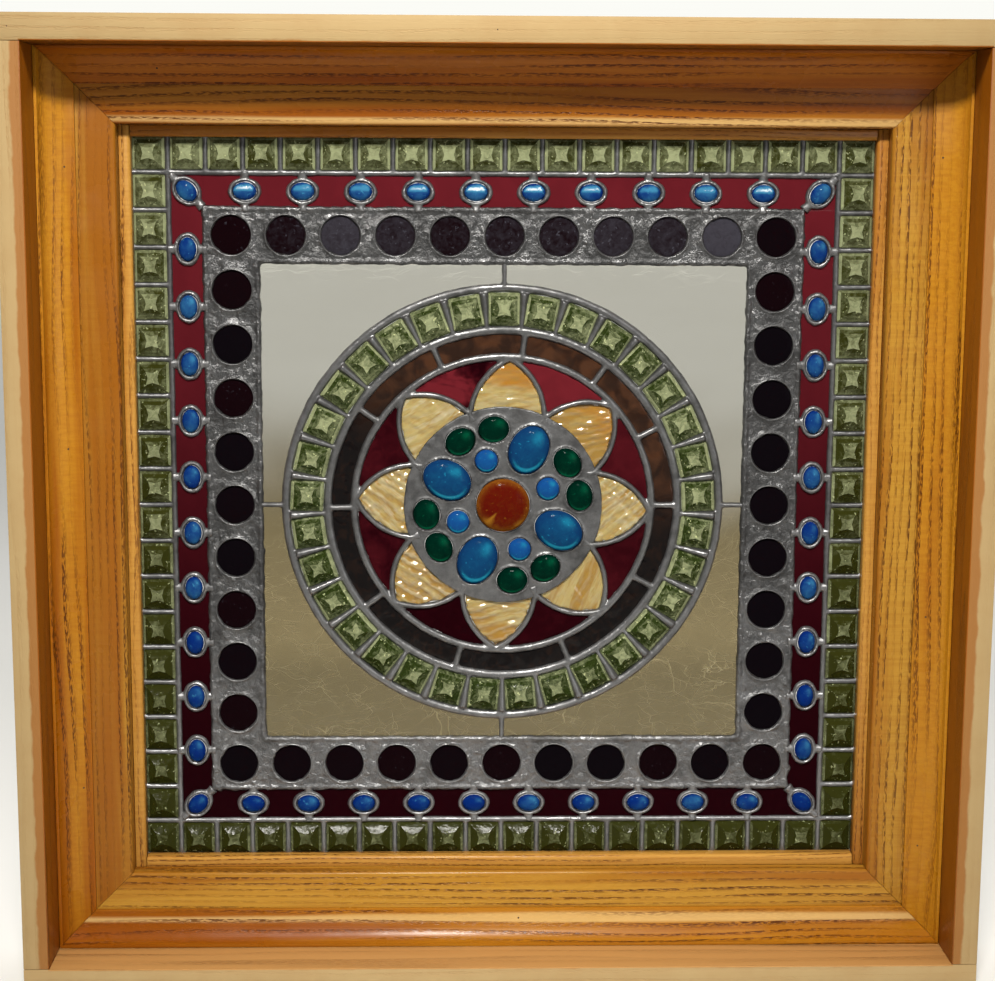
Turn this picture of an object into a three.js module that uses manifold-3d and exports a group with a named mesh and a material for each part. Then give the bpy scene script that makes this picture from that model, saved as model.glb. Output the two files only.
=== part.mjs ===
// A square leaded-glass window in a deep wooden box frame.
//
// Millimetres, +Z up, the glazed front facing -Y. The origin is the middle of the underside.
// A flower of eight petals round a jewelled boss stands in a ring of square jewels. Four clear corner
// panes fill the square round it, and three borders run round the outside: round rondels in a wide
// lead band, blue ovals between ruby strips, and a row of square faceted jewels.

import * as THREE from "three";
import { mergeVertices } from "three/addons/utils/BufferGeometryUtils.js";
import Module from "manifold-3d";

const wasm = await Module();
wasm.setup();

// Driving dimensions

// Gap left between pieces that touch, and the panel's play in its sash
const FIT = 0.3;
const PANEL_PLAY = 1.5;

// Box of four butt-jointed boards
const BOARD_THICKNESS = 19;
const FRONT_RECESS = 40.7;

// Mitred cove moulding in the corner between the box and the sash
const COVE_WIDTH = 26.5;
const COVE_RISE = 13;
const COVE_FILLET = 2.2;

// Mitred sash rails, with a lip behind the panel and a rounded inner arris
const RAIL_FACE = 28.5;
const RAIL_ARRIS = 2.5;
const LIP_WIDTH = 8;
const LIP_THICKNESS = 8;

// Stop beads in front of the panel
const BEAD_DEPTH = 10;
const BEAD_ROUND = 3;
const REVEAL = 12;

// Leads and flat glass
const GLASS = 3.2;
const LEAD_LEAF = 1.2;
const LEAD_LAP = 1.2;
const LEAD = 5;
const RING_LEAD = 6;
const EDGE_LEAD = 5;

// Outer border of square jewels, and the square jewels round the flower
const JEWEL_PITCH = 27.5;
const JEWELS_PER_SIDE = 20;
const JEWEL = 23;
const JEWEL_TABLE = 8;
const JEWEL_RISE = 5;

// Border of ruby strips and blue ovals
const OVAL_BAND = 27;
const OVALS_PER_SIDE = 12;
const OVAL_LENGTH = 18;
const OVAL_WIDTH = 13.6;
const OVAL_COLLAR = 3.2;
const OVAL_RISE = 4.4;
const OVAL_CROWN = 0.5;
const RUBY_SUNK = 1.2;

// Border of round rondels in a wide lead band
const RONDEL_BAND = 37;
const RONDELS_PER_SIDE = 11;
const RONDEL = 29;
const RONDEL_SUNK = 1.2;

// Jewelled boss, from the centre outwards
const CENTRE_JEWEL = 41;
const CENTRE_RISE = 8;
const BOSS_LAND = 7;
const BOSS_RIM = 7;
const BIG_OVAL_LENGTH = 38;
const BIG_OVAL_WIDTH = 30;
const BIG_OVAL_RISE = 7.5;
const SMALL_ROUND = 17.5;
const SMALL_RISE = 5;
const GREEN_OVAL_LENGTH = 24;
const GREEN_OVAL_WIDTH = 20.5;
const GREEN_OVAL_SPREAD = 13.3;
const GREEN_RISE = 5;
const GREEN_RIM = 4;
const BOSS_TURN = 24.5;
const DOME_SHOULDER = 0.86;
const DOME_CROWN = 0.45;

// Flower and the rings round it
const PETALS = 8;
const PETAL_LENGTH = 37;
const FLOWER_TURN = 2.5;
const DARK_RING = 13.5;
const DARK_RING_JOINTS = [7, 36, 63, 90, 119, 157, 196, 233, 269, 304, 336];
const JEWEL_RING = 28;
const RING_JEWELS = 33;

// Number of flats on round and curved outlines
const RING_FLATS = 40;
const BOSS_FLATS = 24;
const SMALL_FLATS = 8;
const BIG_OVAL_FLATS = 10;
const CENTRE_FLATS = 12;
const COVE_FLATS = 7;
const ROUND_FLATS = 3;
const RING_ARC_STEP = 15;
const PETAL_SIDE_FLATS = 3;

// Worked out from the driving dimensions

// Distances from the back of the box towards the viewer
const lipFront = LIP_THICKNESS;
const panelBack = lipFront + FIT;
const panelThickness = GLASS + FIT + LEAD_LEAF;
const panelFront = panelBack + panelThickness;
const beadBack = panelFront + FIT;
const beadFront = beadBack + BEAD_DEPTH;
const railFront = beadFront + REVEAL;
const coveBack = railFront + FIT;
const coveFront = coveBack + COVE_RISE;
const boxDepth = coveFront + FRONT_RECESS;

// Distances from the centre of the panel to each edge of the borders and of the frame
const jewelFieldHalf = (JEWEL_PITCH * JEWELS_PER_SIDE) / 2;
const jewelRow = jewelFieldHalf - JEWEL_PITCH / 2;
const ovalOuter = jewelFieldHalf - JEWEL_PITCH;
const ovalRow = ovalOuter - OVAL_BAND / 2;
const rondelOuter = ovalOuter - OVAL_BAND;
const rondelRow = rondelOuter - RONDEL_BAND / 2;
const paneOuter = rondelOuter - RONDEL_BAND;
const panelHalf = jewelFieldHalf + EDGE_LEAD;
const openingHalf = panelHalf + PANEL_PLAY;
const sightHalf = jewelRow + JEWEL / 2 + FIT;
const lipHalf = openingHalf - LIP_WIDTH;
const coveInner = openingHalf + RAIL_FACE;
const boxInner = coveInner + COVE_WIDTH + FIT;
const railOuter = boxInner - FIT;
const boxHalf = boxInner + BOARD_THICKNESS;

// Radii of the flower, from the boss outwards
const bossRadius = CENTRE_JEWEL / 2 + BOSS_LAND + BIG_OVAL_LENGTH + BOSS_RIM;
const flowerRadius = bossRadius + PETAL_LENGTH;
const darkInner = flowerRadius + RING_LEAD;
const darkOuter = darkInner + DARK_RING;
const ringJewelRadius = darkOuter + LEAD + JEWEL_RING / 2;
const ringRadius = ringJewelRadius + JEWEL_RING / 2 + LEAD;

// A plain overshoot for cutters and for what is sunk into the lead before it is joined
const OVER = 1;

// Corners nearer to each other than this are one corner
const WELD = 1e-4;

// Finishes

function finish(color, roughness, metalness) {
  return new THREE.MeshStandardMaterial({ color, roughness, metalness });
}

const boxWood = finish("#8a6a45", 0.7, 0);
const oak = finish("#96714a", 0.5, 0);
const leadMetal = finish("#8b8987", 0.45, 0.9);
const clearGlass = finish("#c9c5b4", 0.1, 0);
const darkGlass = finish("#2c1c1c", 0.15, 0);
const rubyGlass = finish("#6b1119", 0.15, 0);
const amberGlass = finish("#dcae5c", 0.2, 0);
const centreGlass = finish("#a5331a", 0.1, 0);
const blueGlass = finish("#1d6fb5", 0.1, 0);

// Solids

function solid(geometry) {
  const bare = geometry.clone();
  bare.deleteAttribute("normal");
  bare.deleteAttribute("uv");
  const joined = mergeVertices(bare, WELD);
  const corners = [];
  for (let i = 0; i < joined.index.count; i += 3) {
    const [a, b, c] = joined.index.array.slice(i, i + 3);
    if (a !== b && b !== c && c !== a) {
      corners.push(a, b, c);
    }
  }
  return new wasm.Manifold(
    new wasm.Mesh({
      numProp: 3,
      vertProperties: new Float32Array(joined.attributes.position.array),
      triVerts: new Uint32Array(corners),
    }),
  );
}

function surface(body) {
  const { vertProperties, triVerts } = body.getMesh();
  const geometry = new THREE.BufferGeometry();
  geometry.setAttribute("position", new THREE.BufferAttribute(vertProperties, 3));
  geometry.setIndex(new THREE.BufferAttribute(triVerts, 1));
  geometry.computeVertexNormals();
  return geometry;
}

// A flat outline raised from low to high, both measured towards the viewer
function prism(points, low, high) {
  const geometry = new THREE.ExtrudeGeometry(new THREE.Shape(points), {
    depth: high - low,
    bevelEnabled: false,
    curveSegments: 1,
  });
  return solid(geometry.translate(0, 0, low));
}

// A box between two opposite corners of an outline
function slab(left, bottom, right, top, low, high) {
  const geometry = new THREE.BoxGeometry(right - left, top - bottom, high - low);
  return solid(geometry.translate((left + right) / 2, (bottom + top) / 2, (low + high) / 2));
}

function drum(radius, low, high, flats) {
  const geometry = new THREE.CylinderGeometry(radius, radius, high - low, flats, 1);
  return solid(geometry.rotateX(Math.PI / 2).translate(0, 0, (low + high) / 2));
}

// A stone turned from a section of [share of its half width, height], then drawn out to its length and width
function stone(length, width, section, flats) {
  const onAxis = [[0, section[0][1]], ...section, [0, section.at(-1)[1]]];
  const profile = onAxis.map(([share, height]) => new THREE.Vector2(share, height));
  const geometry = new THREE.LatheGeometry(profile, flats);
  geometry.rotateY(Math.PI / flats).rotateX(Math.PI / 2);
  return solid(geometry.scale(length / 2, width / 2, 1));
}

// A four-sided stone's half width is measured to its corners
function squareStone(size, section) {
  return stone(size * Math.SQRT2, size * Math.SQRT2, section, 4);
}

// A point at a distance from the centre, at a clock angle in degrees from the top
function atClock(radius, degrees) {
  const angle = THREE.MathUtils.degToRad(degrees);
  return new THREE.Vector2(radius * Math.sin(angle), radius * Math.cos(angle));
}

function arcPoints(radius, from, to, steps) {
  return Array.from({ length: steps + 1 }, (_, i) => atClock(radius, from + ((to - from) * i) / steps));
}

// The 0, 1, 2, 3 quarter turns that take the bottom run to the other three sides
const SIDES = ["bottom", "right", "top", "left"];

function quarterTurn(side) {
  return SIDES.indexOf(side) * Math.PI * 0.5;
}

const casement = new THREE.Group();
casement.rotation.x = Math.PI / 2;
casement.position.set(0, boxDepth / 2, boxHalf);

function place(name, body, material) {
  const mesh = new THREE.Mesh(surface(body), material);
  mesh.name = name;
  casement.add(mesh);
  return mesh;
}

// Wooden frame

// A moulding's section, given as points [distance from the centre, height from the back], run along the bottom
function run(section, half) {
  const shape = new THREE.Shape(section.map(([out, up]) => new THREE.Vector2(-out, up)));
  const geometry = new THREE.ExtrudeGeometry(shape, { depth: 2 * half, bevelEnabled: false });
  const alongX = new THREE.Matrix4().makeBasis(
    new THREE.Vector3(0, 1, 0),
    new THREE.Vector3(0, 0, 1),
    new THREE.Vector3(1, 0, 0),
  );
  return solid(geometry.applyMatrix4(alongX).translate(-half, 0, 0));
}

// The triangle from the centre to the bottom corners, which cuts a run's ends to a mitre
function mitred(body) {
  const reach = boxHalf * 2;
  const gap = FIT * Math.SQRT1_2;
  const triangle = [
    new THREE.Vector2(0, -gap),
    new THREE.Vector2(-reach, -gap - reach),
    new THREE.Vector2(reach, -gap - reach),
  ];
  return body.intersect(prism(triangle, -OVER, boxDepth + OVER));
}

// A quarter round between two section points, bulging away from its own centre
function roundCorner(centreOut, centreUp, radius, from, to, flats) {
  return Array.from({ length: flats + 1 }, (_, i) => {
    const angle = from + ((to - from) * i) / flats;
    return [centreOut + radius * Math.cos(angle), centreUp + radius * Math.sin(angle)];
  });
}

function buildBox() {
  const lying = slab(-boxHalf, -boxHalf, boxHalf, -boxInner, 0, boxDepth);
  const sideHalf = boxInner - FIT;
  const standing = slab(-boxHalf, -sideHalf, -boxInner, sideHalf, 0, boxDepth);
  place("box_board_bottom", lying, boxWood);
  place("box_board_top", lying, boxWood).rotation.z = Math.PI;
  place("box_board_left", standing, boxWood);
  place("box_board_right", standing, boxWood).rotation.z = Math.PI;
}

function buildCoves() {
  const wall = boxInner - FIT;
  const section = [
    [wall, coveBack],
    [wall, coveFront],
    [wall - COVE_FILLET, coveFront],
  ];
  const hollowWidth = COVE_WIDTH - COVE_FILLET;
  const hollowRise = COVE_RISE - COVE_FILLET;
  for (let i = 1; i < COVE_FLATS; i += 1) {
    const angle = (Math.PI / 2) * (i / COVE_FLATS);
    section.push([
      coveInner + hollowWidth * Math.cos(angle),
      coveFront - hollowRise * Math.sin(angle),
    ]);
  }
  section.push([coveInner, coveBack + COVE_FILLET], [coveInner, coveBack]);
  const cove = mitred(run(section, boxHalf));
  for (const side of SIDES) {
    place(`cove_${side}`, cove, oak).rotation.z = quarterTurn(side);
  }
}

function buildRails() {
  const arris = roundCorner(
    openingHalf + RAIL_ARRIS,
    railFront - RAIL_ARRIS,
    RAIL_ARRIS,
    Math.PI / 2,
    Math.PI,
    ROUND_FLATS,
  );
  const section = [
    [lipHalf, 0],
    [railOuter, 0],
    [railOuter, railFront],
    ...arris,
    [openingHalf, lipFront],
    [lipHalf, lipFront],
  ];
  const rail = mitred(run(section, boxHalf));
  for (const side of SIDES) {
    place(`sash_rail_${side}`, rail, oak).rotation.z = quarterTurn(side);
  }
}

function buildBeads() {
  const outer = openingHalf - FIT;
  const nose = roundCorner(
    sightHalf + BEAD_ROUND,
    beadFront - BEAD_ROUND,
    BEAD_ROUND,
    Math.PI / 2,
    Math.PI,
    ROUND_FLATS,
  );
  const section = [[sightHalf, beadBack], [outer, beadBack], [outer, beadFront], ...nose];
  const upright = run(section, outer);
  const level = run(section, sightHalf - FIT);
  for (const side of SIDES) {
    const isUpright = side === "left" || side === "right";
    place(`stop_bead_${side}`, isUpright ? upright : level, oak).rotation.z = quarterTurn(side);
  }
}

// Flat glass: each outline is given grown by some distance, so that the clear opening, the glass under the
// lead's leaf and the seat that the glass lies in all come from one outline

function paneOutline(grow, low, high) {
  const inner = LEAD / 2 - grow;
  const outer = paneOuter - LEAD / 2 + grow;
  return slab(inner, inner, outer, outer, low, high).subtract(
    drum(ringRadius - grow, low - OVER, high + OVER, RING_FLATS),
  );
}

function darkRingOutline(from, to, grow, low, high) {
  const inner = darkInner - grow;
  const outer = darkOuter + grow;
  const cut = THREE.MathUtils.radToDeg((LEAD / 2 - grow) / ((inner + outer) / 2));
  const steps = Math.ceil((to - from) / RING_ARC_STEP);
  const points = [
    ...arcPoints(outer, from + cut, to - cut, steps),
    ...arcPoints(inner, to - cut, from + cut, steps),
  ];
  return prism(points.reverse(), low, high);
}

// A pointed arch on the boss, its point towards 12 o'clock
const petalBase = bossRadius * Math.cos(Math.PI / PETALS);
const petalHalf = bossRadius * Math.sin(Math.PI / PETALS) - LEAD / 2;
const petalHeight = flowerRadius - LEAD_LEAF - petalBase;
const petalArc = (petalHeight ** 2 + petalHalf ** 2) / (2 * petalHalf);

function petalOutline(grow, low, high, reach = flowerRadius + grow) {
  const radius = petalArc + grow;
  const offset = petalArc - petalHalf;
  const apex = Math.acos(offset / radius);
  const side = Array.from({ length: PETAL_SIDE_FLATS + 1 }, (_, i) => {
    const angle = (apex * i) / PETAL_SIDE_FLATS;
    return new THREE.Vector2(radius * Math.cos(angle) - offset, petalBase + radius * Math.sin(angle));
  });
  const mirrored = side.slice(0, -1).map((point) => new THREE.Vector2(-point.x, point.y));
  const foot = petalBase / 2;
  const points = [
    new THREE.Vector2(-side[0].x, foot),
    new THREE.Vector2(side[0].x, foot),
    ...side,
    ...mirrored.reverse(),
  ];
  const arch = prism(points, low, high);
  return arch
    .subtract(drum(bossRadius - grow, low - OVER, high + OVER, BOSS_FLATS))
    .intersect(drum(reach, low - OVER, high + OVER, RING_FLATS));
}

function turned(body, degrees) {
  return body.rotate([0, 0, -degrees]);
}

const petalStep = 360 / PETALS;

// What is left between two petals and the ring, round the clock angle halfway between them
function wedgeOutline(grow, low, high) {
  const half = petalStep / 2;
  const reach = flowerRadius + grow;
  const steps = Math.ceil(petalStep / RING_ARC_STEP);
  const points = [...arcPoints(reach, -half, half, steps), new THREE.Vector2(0, 0)];
  const shared = petalOutline(LEAD - grow, low - OVER, high + OVER, reach + 2 * LEAD);
  return prism(points.reverse(), low, high)
    .subtract(turned(shared, -half))
    .subtract(turned(shared, half))
    .subtract(drum(bossRadius + LEAD / 2, low - OVER, high + OVER, BOSS_FLATS));
}

const SEAT = LEAD_LAP + FIT;

// The clear opening right through, with the glass's seat behind the lead's leaf
function glazed(web, outline) {
  const leafBack = panelFront - LEAD_LEAF;
  const sight = outline(0, leafBack - OVER, panelFront + OVER);
  const seat = outline(SEAT, panelBack - OVER, leafBack);
  return web.subtract(sight).subtract(seat);
}

function sheet(outline) {
  return outline(LEAD_LAP, panelBack, panelBack + GLASS);
}

// Cabochons of the boss

// A dome on a girdle: the girdle lies in the seat and the dome comes through the opening
function cabochon(length, width, rise, flats) {
  const half = length / 2;
  const waist = (half - FIT) / (half + LEAD_LAP);
  const section = [
    [1, panelBack],
    [1, panelBack + GLASS],
    [waist, panelBack + GLASS],
    [waist * DOME_SHOULDER, panelFront + rise / 2],
    [waist * DOME_CROWN, panelFront + rise],
  ];
  return stone(length + 2 * LEAD_LAP, width + 2 * LEAD_LAP, section, flats);
}

function cabochonHole(length, width, flats) {
  return (grow, low, high) => stone(length + 2 * grow, width + 2 * grow, [[1, low], [1, high]], flats);
}

// Moves a body from the centre to a clock angle, its first axis along the radius
function outwards(body, radius, degrees) {
  const spot = atClock(radius, degrees);
  return body.rotate([0, 0, 90 - degrees]).translate([spot.x, spot.y, 0]);
}

const quarterTurns = [0, 1, 2, 3].map((i) => BOSS_TURN + 90 * i);
const bigOvalRadius = CENTRE_JEWEL / 2 + BOSS_LAND + BIG_OVAL_LENGTH / 2;
const smallRoundRadius = CENTRE_JEWEL / 2 + BOSS_LAND + SMALL_ROUND / 2;
const greenRadius = bossRadius - GREEN_RIM - GREEN_OVAL_WIDTH / 2;

const bossJewels = [
  {
    name: "centre_jewel",
    material: centreGlass,
    size: [CENTRE_JEWEL, CENTRE_JEWEL, CENTRE_RISE, CENTRE_FLATS],
    at: [0, 0],
  },
  ...quarterTurns.map((degrees, i) => ({
    name: `blue_oval_${i + 1}`,
    material: blueGlass,
    size: [BIG_OVAL_LENGTH, BIG_OVAL_WIDTH, BIG_OVAL_RISE, BIG_OVAL_FLATS],
    at: [bigOvalRadius, degrees],
  })),
  ...quarterTurns.map((degrees, i) => ({
    name: `blue_round_${i + 1}`,
    material: blueGlass,
    size: [SMALL_ROUND, SMALL_ROUND, SMALL_RISE, SMALL_FLATS],
    at: [smallRoundRadius, degrees + 45],
  })),
];

// Lead web, with the small jewels of the borders and the ring set in it

function eachAlongBorder(count, half, visit) {
  const step = (2 * half) / (count - 1);
  for (let side = 0; side < 4; side += 1) {
    for (let i = 0; i < count - 1; i += 1) {
      visit(-half + step * i, -half, side * 90, i === 0);
    }
  }
}

function set(body, x, y, turn) {
  return body.translate([x, y, 0]).rotate([0, 0, turn]);
}

function buildWeb() {
  let web = slab(-panelHalf, -panelHalf, panelHalf, panelHalf, panelBack, panelFront);

  const channelHalf = (OVAL_BAND - LEAD) / 2;
  const floor = panelFront - RUBY_SUNK;
  const reach = ovalRow + channelHalf;
  const channel = slab(-reach, -reach, reach, -ovalRow + channelHalf, floor, panelFront + OVER);
  for (let side = 0; side < 4; side += 1) {
    web = web.subtract(channel.rotate([0, 0, side * 90]));
  }

  const root = floor - OVER;
  const jewel = squareStone(JEWEL, [
    [1, root],
    [1, panelFront],
    [JEWEL_TABLE / JEWEL, panelFront + JEWEL_RISE],
  ]);
  const rondel = stone(
    RONDEL,
    RONDEL,
    [[1, panelFront - RONDEL_SUNK], [1, panelFront + OVER]],
    SMALL_FLATS,
  );
  const oval = stone(
    OVAL_LENGTH + 2 * OVAL_COLLAR,
    OVAL_WIDTH + 2 * OVAL_COLLAR,
    [[1, root], [1, floor], [OVAL_CROWN, panelFront + OVAL_RISE]],
    SMALL_FLATS,
  );
  const green = stone(
    GREEN_OVAL_WIDTH,
    GREEN_OVAL_LENGTH,
    [[1, root], [1, panelFront], [DOME_CROWN, panelFront + GREEN_RISE]],
    SMALL_FLATS,
  );

  eachAlongBorder(JEWELS_PER_SIDE, jewelRow, (x, y, turn) => {
    web = web.add(set(jewel, x, y, turn));
  });
  eachAlongBorder(OVALS_PER_SIDE, ovalRow, (x, y, turn, isCorner) => {
    web = web.add(set(isCorner ? oval.rotate([0, 0, 45]) : oval, x, y, turn));
  });
  eachAlongBorder(RONDELS_PER_SIDE, rondelRow, (x, y, turn) => {
    web = web.subtract(set(rondel, x, y, turn));
  });
  for (let i = 0; i < RING_JEWELS; i += 1) {
    web = web.add(outwards(jewel, ringJewelRadius, (360 * i) / RING_JEWELS));
  }
  for (const degrees of quarterTurns) {
    for (const sideways of [-GREEN_OVAL_SPREAD, GREEN_OVAL_SPREAD]) {
      web = web.add(outwards(green, greenRadius, degrees + 45 + sideways));
    }
  }
  return web;
}

function buildPanel() {
  let web = buildWeb();

  const corners = ["top_right", "top_left", "bottom_left", "bottom_right"];
  corners.forEach((corner, i) => {
    const outline = (grow, low, high) => paneOutline(grow, low, high).rotate([0, 0, 90 * i]);
    web = glazed(web, outline);
    place(`clear_pane_${corner}`, sheet(outline), clearGlass);
  });

  DARK_RING_JOINTS.forEach((from, i) => {
    const next = DARK_RING_JOINTS[i + 1] ?? DARK_RING_JOINTS[0] + 360;
    const outline = (grow, low, high) => darkRingOutline(from, next, grow, low, high);
    web = glazed(web, outline);
    place(`dark_ring_piece_${i + 1}`, sheet(outline), darkGlass);
  });

  for (let i = 0; i < PETALS; i += 1) {
    const degrees = FLOWER_TURN + petalStep * i;
    const petal = (grow, low, high) => turned(petalOutline(grow, low, high), degrees);
    const wedge = (grow, low, high) => turned(wedgeOutline(grow, low, high), degrees + petalStep / 2);
    web = glazed(web, petal);
    web = glazed(web, wedge);
    place(`petal_${i + 1}`, sheet(petal), amberGlass);
    place(`ruby_wedge_${i + 1}`, sheet(wedge), rubyGlass);
  }

  for (const { name, material, size, at } of bossJewels) {
    const [length, width, rise, flats] = size;
    const [radius, degrees] = at;
    const hole = cabochonHole(length, width, flats);
    web = glazed(web, (grow, low, high) => outwards(hole(grow, low, high), radius, degrees));
    place(name, outwards(cabochon(length, width, rise, flats), radius, degrees), material);
  }

  place("lead_web", web, leadMetal);
}

buildBox();
buildCoves();
buildRails();
buildBeads();
buildPanel();

const model = new THREE.Group();
model.add(casement);

export default model;
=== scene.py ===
import math
import random
from contextlib import contextmanager

import bmesh
import bpy
import numpy as np
from bpy.props import FloatProperty, FloatVectorProperty, IntProperty, PointerProperty
from mathutils import Matrix, Vector, noise


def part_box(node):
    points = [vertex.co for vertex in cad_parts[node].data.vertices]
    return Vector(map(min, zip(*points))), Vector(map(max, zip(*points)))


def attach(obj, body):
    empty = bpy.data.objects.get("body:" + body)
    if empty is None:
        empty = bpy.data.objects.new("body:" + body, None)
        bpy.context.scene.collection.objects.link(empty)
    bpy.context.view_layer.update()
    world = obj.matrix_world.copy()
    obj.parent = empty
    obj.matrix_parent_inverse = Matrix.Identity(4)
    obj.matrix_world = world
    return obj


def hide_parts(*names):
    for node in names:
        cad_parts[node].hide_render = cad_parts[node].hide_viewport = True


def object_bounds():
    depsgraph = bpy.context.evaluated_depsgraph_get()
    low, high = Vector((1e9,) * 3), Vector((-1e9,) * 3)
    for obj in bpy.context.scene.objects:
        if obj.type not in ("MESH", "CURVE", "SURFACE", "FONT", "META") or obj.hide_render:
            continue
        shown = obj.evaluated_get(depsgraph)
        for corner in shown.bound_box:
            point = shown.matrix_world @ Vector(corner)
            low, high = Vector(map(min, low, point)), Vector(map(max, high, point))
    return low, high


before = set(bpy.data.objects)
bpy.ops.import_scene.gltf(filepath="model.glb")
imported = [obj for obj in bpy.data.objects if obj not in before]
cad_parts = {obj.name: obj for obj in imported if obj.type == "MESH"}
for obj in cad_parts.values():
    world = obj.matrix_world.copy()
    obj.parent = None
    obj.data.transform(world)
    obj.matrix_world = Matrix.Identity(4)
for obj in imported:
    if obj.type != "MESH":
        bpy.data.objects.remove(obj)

# A square leaded-glass window in a deep wooden box frame: its wood, leads, flat glass and jewels.
# Pieces are made in the panel's own frame, in metres: across, up from the middle, and out from the back.

bl_info = {
    "name": "Leaded Glass Window",
    "version": (1, 0, 0),
    "blender": (4, 5, 0),
    "location": "View3D > Sidebar > Window",
    "description": "Makes the wood, leads, glass and jewels of a square leaded window",
    "category": "Object",
}

CAD_LOW, CAD_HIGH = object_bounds()
MIDDLE = (CAD_LOW.z + CAD_HIGH.z) / 2
BACK = CAD_HIGH.y
BOX_DEPTH = CAD_HIGH.y - CAD_LOW.y
BOX_HALF = (CAD_HIGH.x - CAD_LOW.x) / 2
PANEL = Matrix(((1, 0, 0, 0), (0, 0, -1, BACK), (0, 1, 0, MIDDLE), (0, 0, 0, 1)))
SIDES = ("bottom", "right", "top", "left")
UPRIGHT = ("right", "left")
QUARTER = math.pi / 2
MM = 0.001
TINY = 1e-6


def levels(node):
    """How far a frame node's back and front stand out from the back of the box."""
    low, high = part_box(node)
    return BACK - high.y, BACK - low.y


def reach(node):
    """The lowest and highest height of a frame node, from the middle of the panel."""
    low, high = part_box(node)
    return low.z - MIDDLE, high.z - MIDDLE


GLASS_BACK, GLASS_FRONT = levels("clear_pane_top_right")
RAIL_BACK, RAIL_FRONT = levels("sash_rail_bottom")
COVE_BACK, COVE_FRONT = levels("cove_bottom")
BEAD_BACK, BEAD_FRONT = levels("stop_bead_bottom")
BOX_INNER = -reach("box_board_bottom")[1]
COVE_OUTER = -reach("cove_bottom")[0]
COVE_INNER = -reach("cove_bottom")[1]
RAIL_OUTER = -reach("sash_rail_bottom")[0]
LIP_HALF = -reach("sash_rail_bottom")[1]
BEAD_OUTER = -reach("stop_bead_bottom")[0]
SIGHT_HALF = -reach("stop_bead_bottom")[1]
FIT = BOX_INNER - RAIL_OUTER
OPENING_HALF = BEAD_OUTER + FIT


def length(name, value, description):
    return FloatProperty(name=name, description=description, default=value * MM, min=0, unit="LENGTH")


def angle(name, value, description):
    return FloatProperty(name=name, description=description, default=math.radians(value), subtype="ANGLE")


def count(name, value, description):
    return IntProperty(name=name, description=description, default=value, min=2)


def colour(name, value, description):
    return FloatVectorProperty(
        name=name, description=description, default=(*value, 1), size=4, min=0, max=1, subtype="COLOR"
    )


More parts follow.
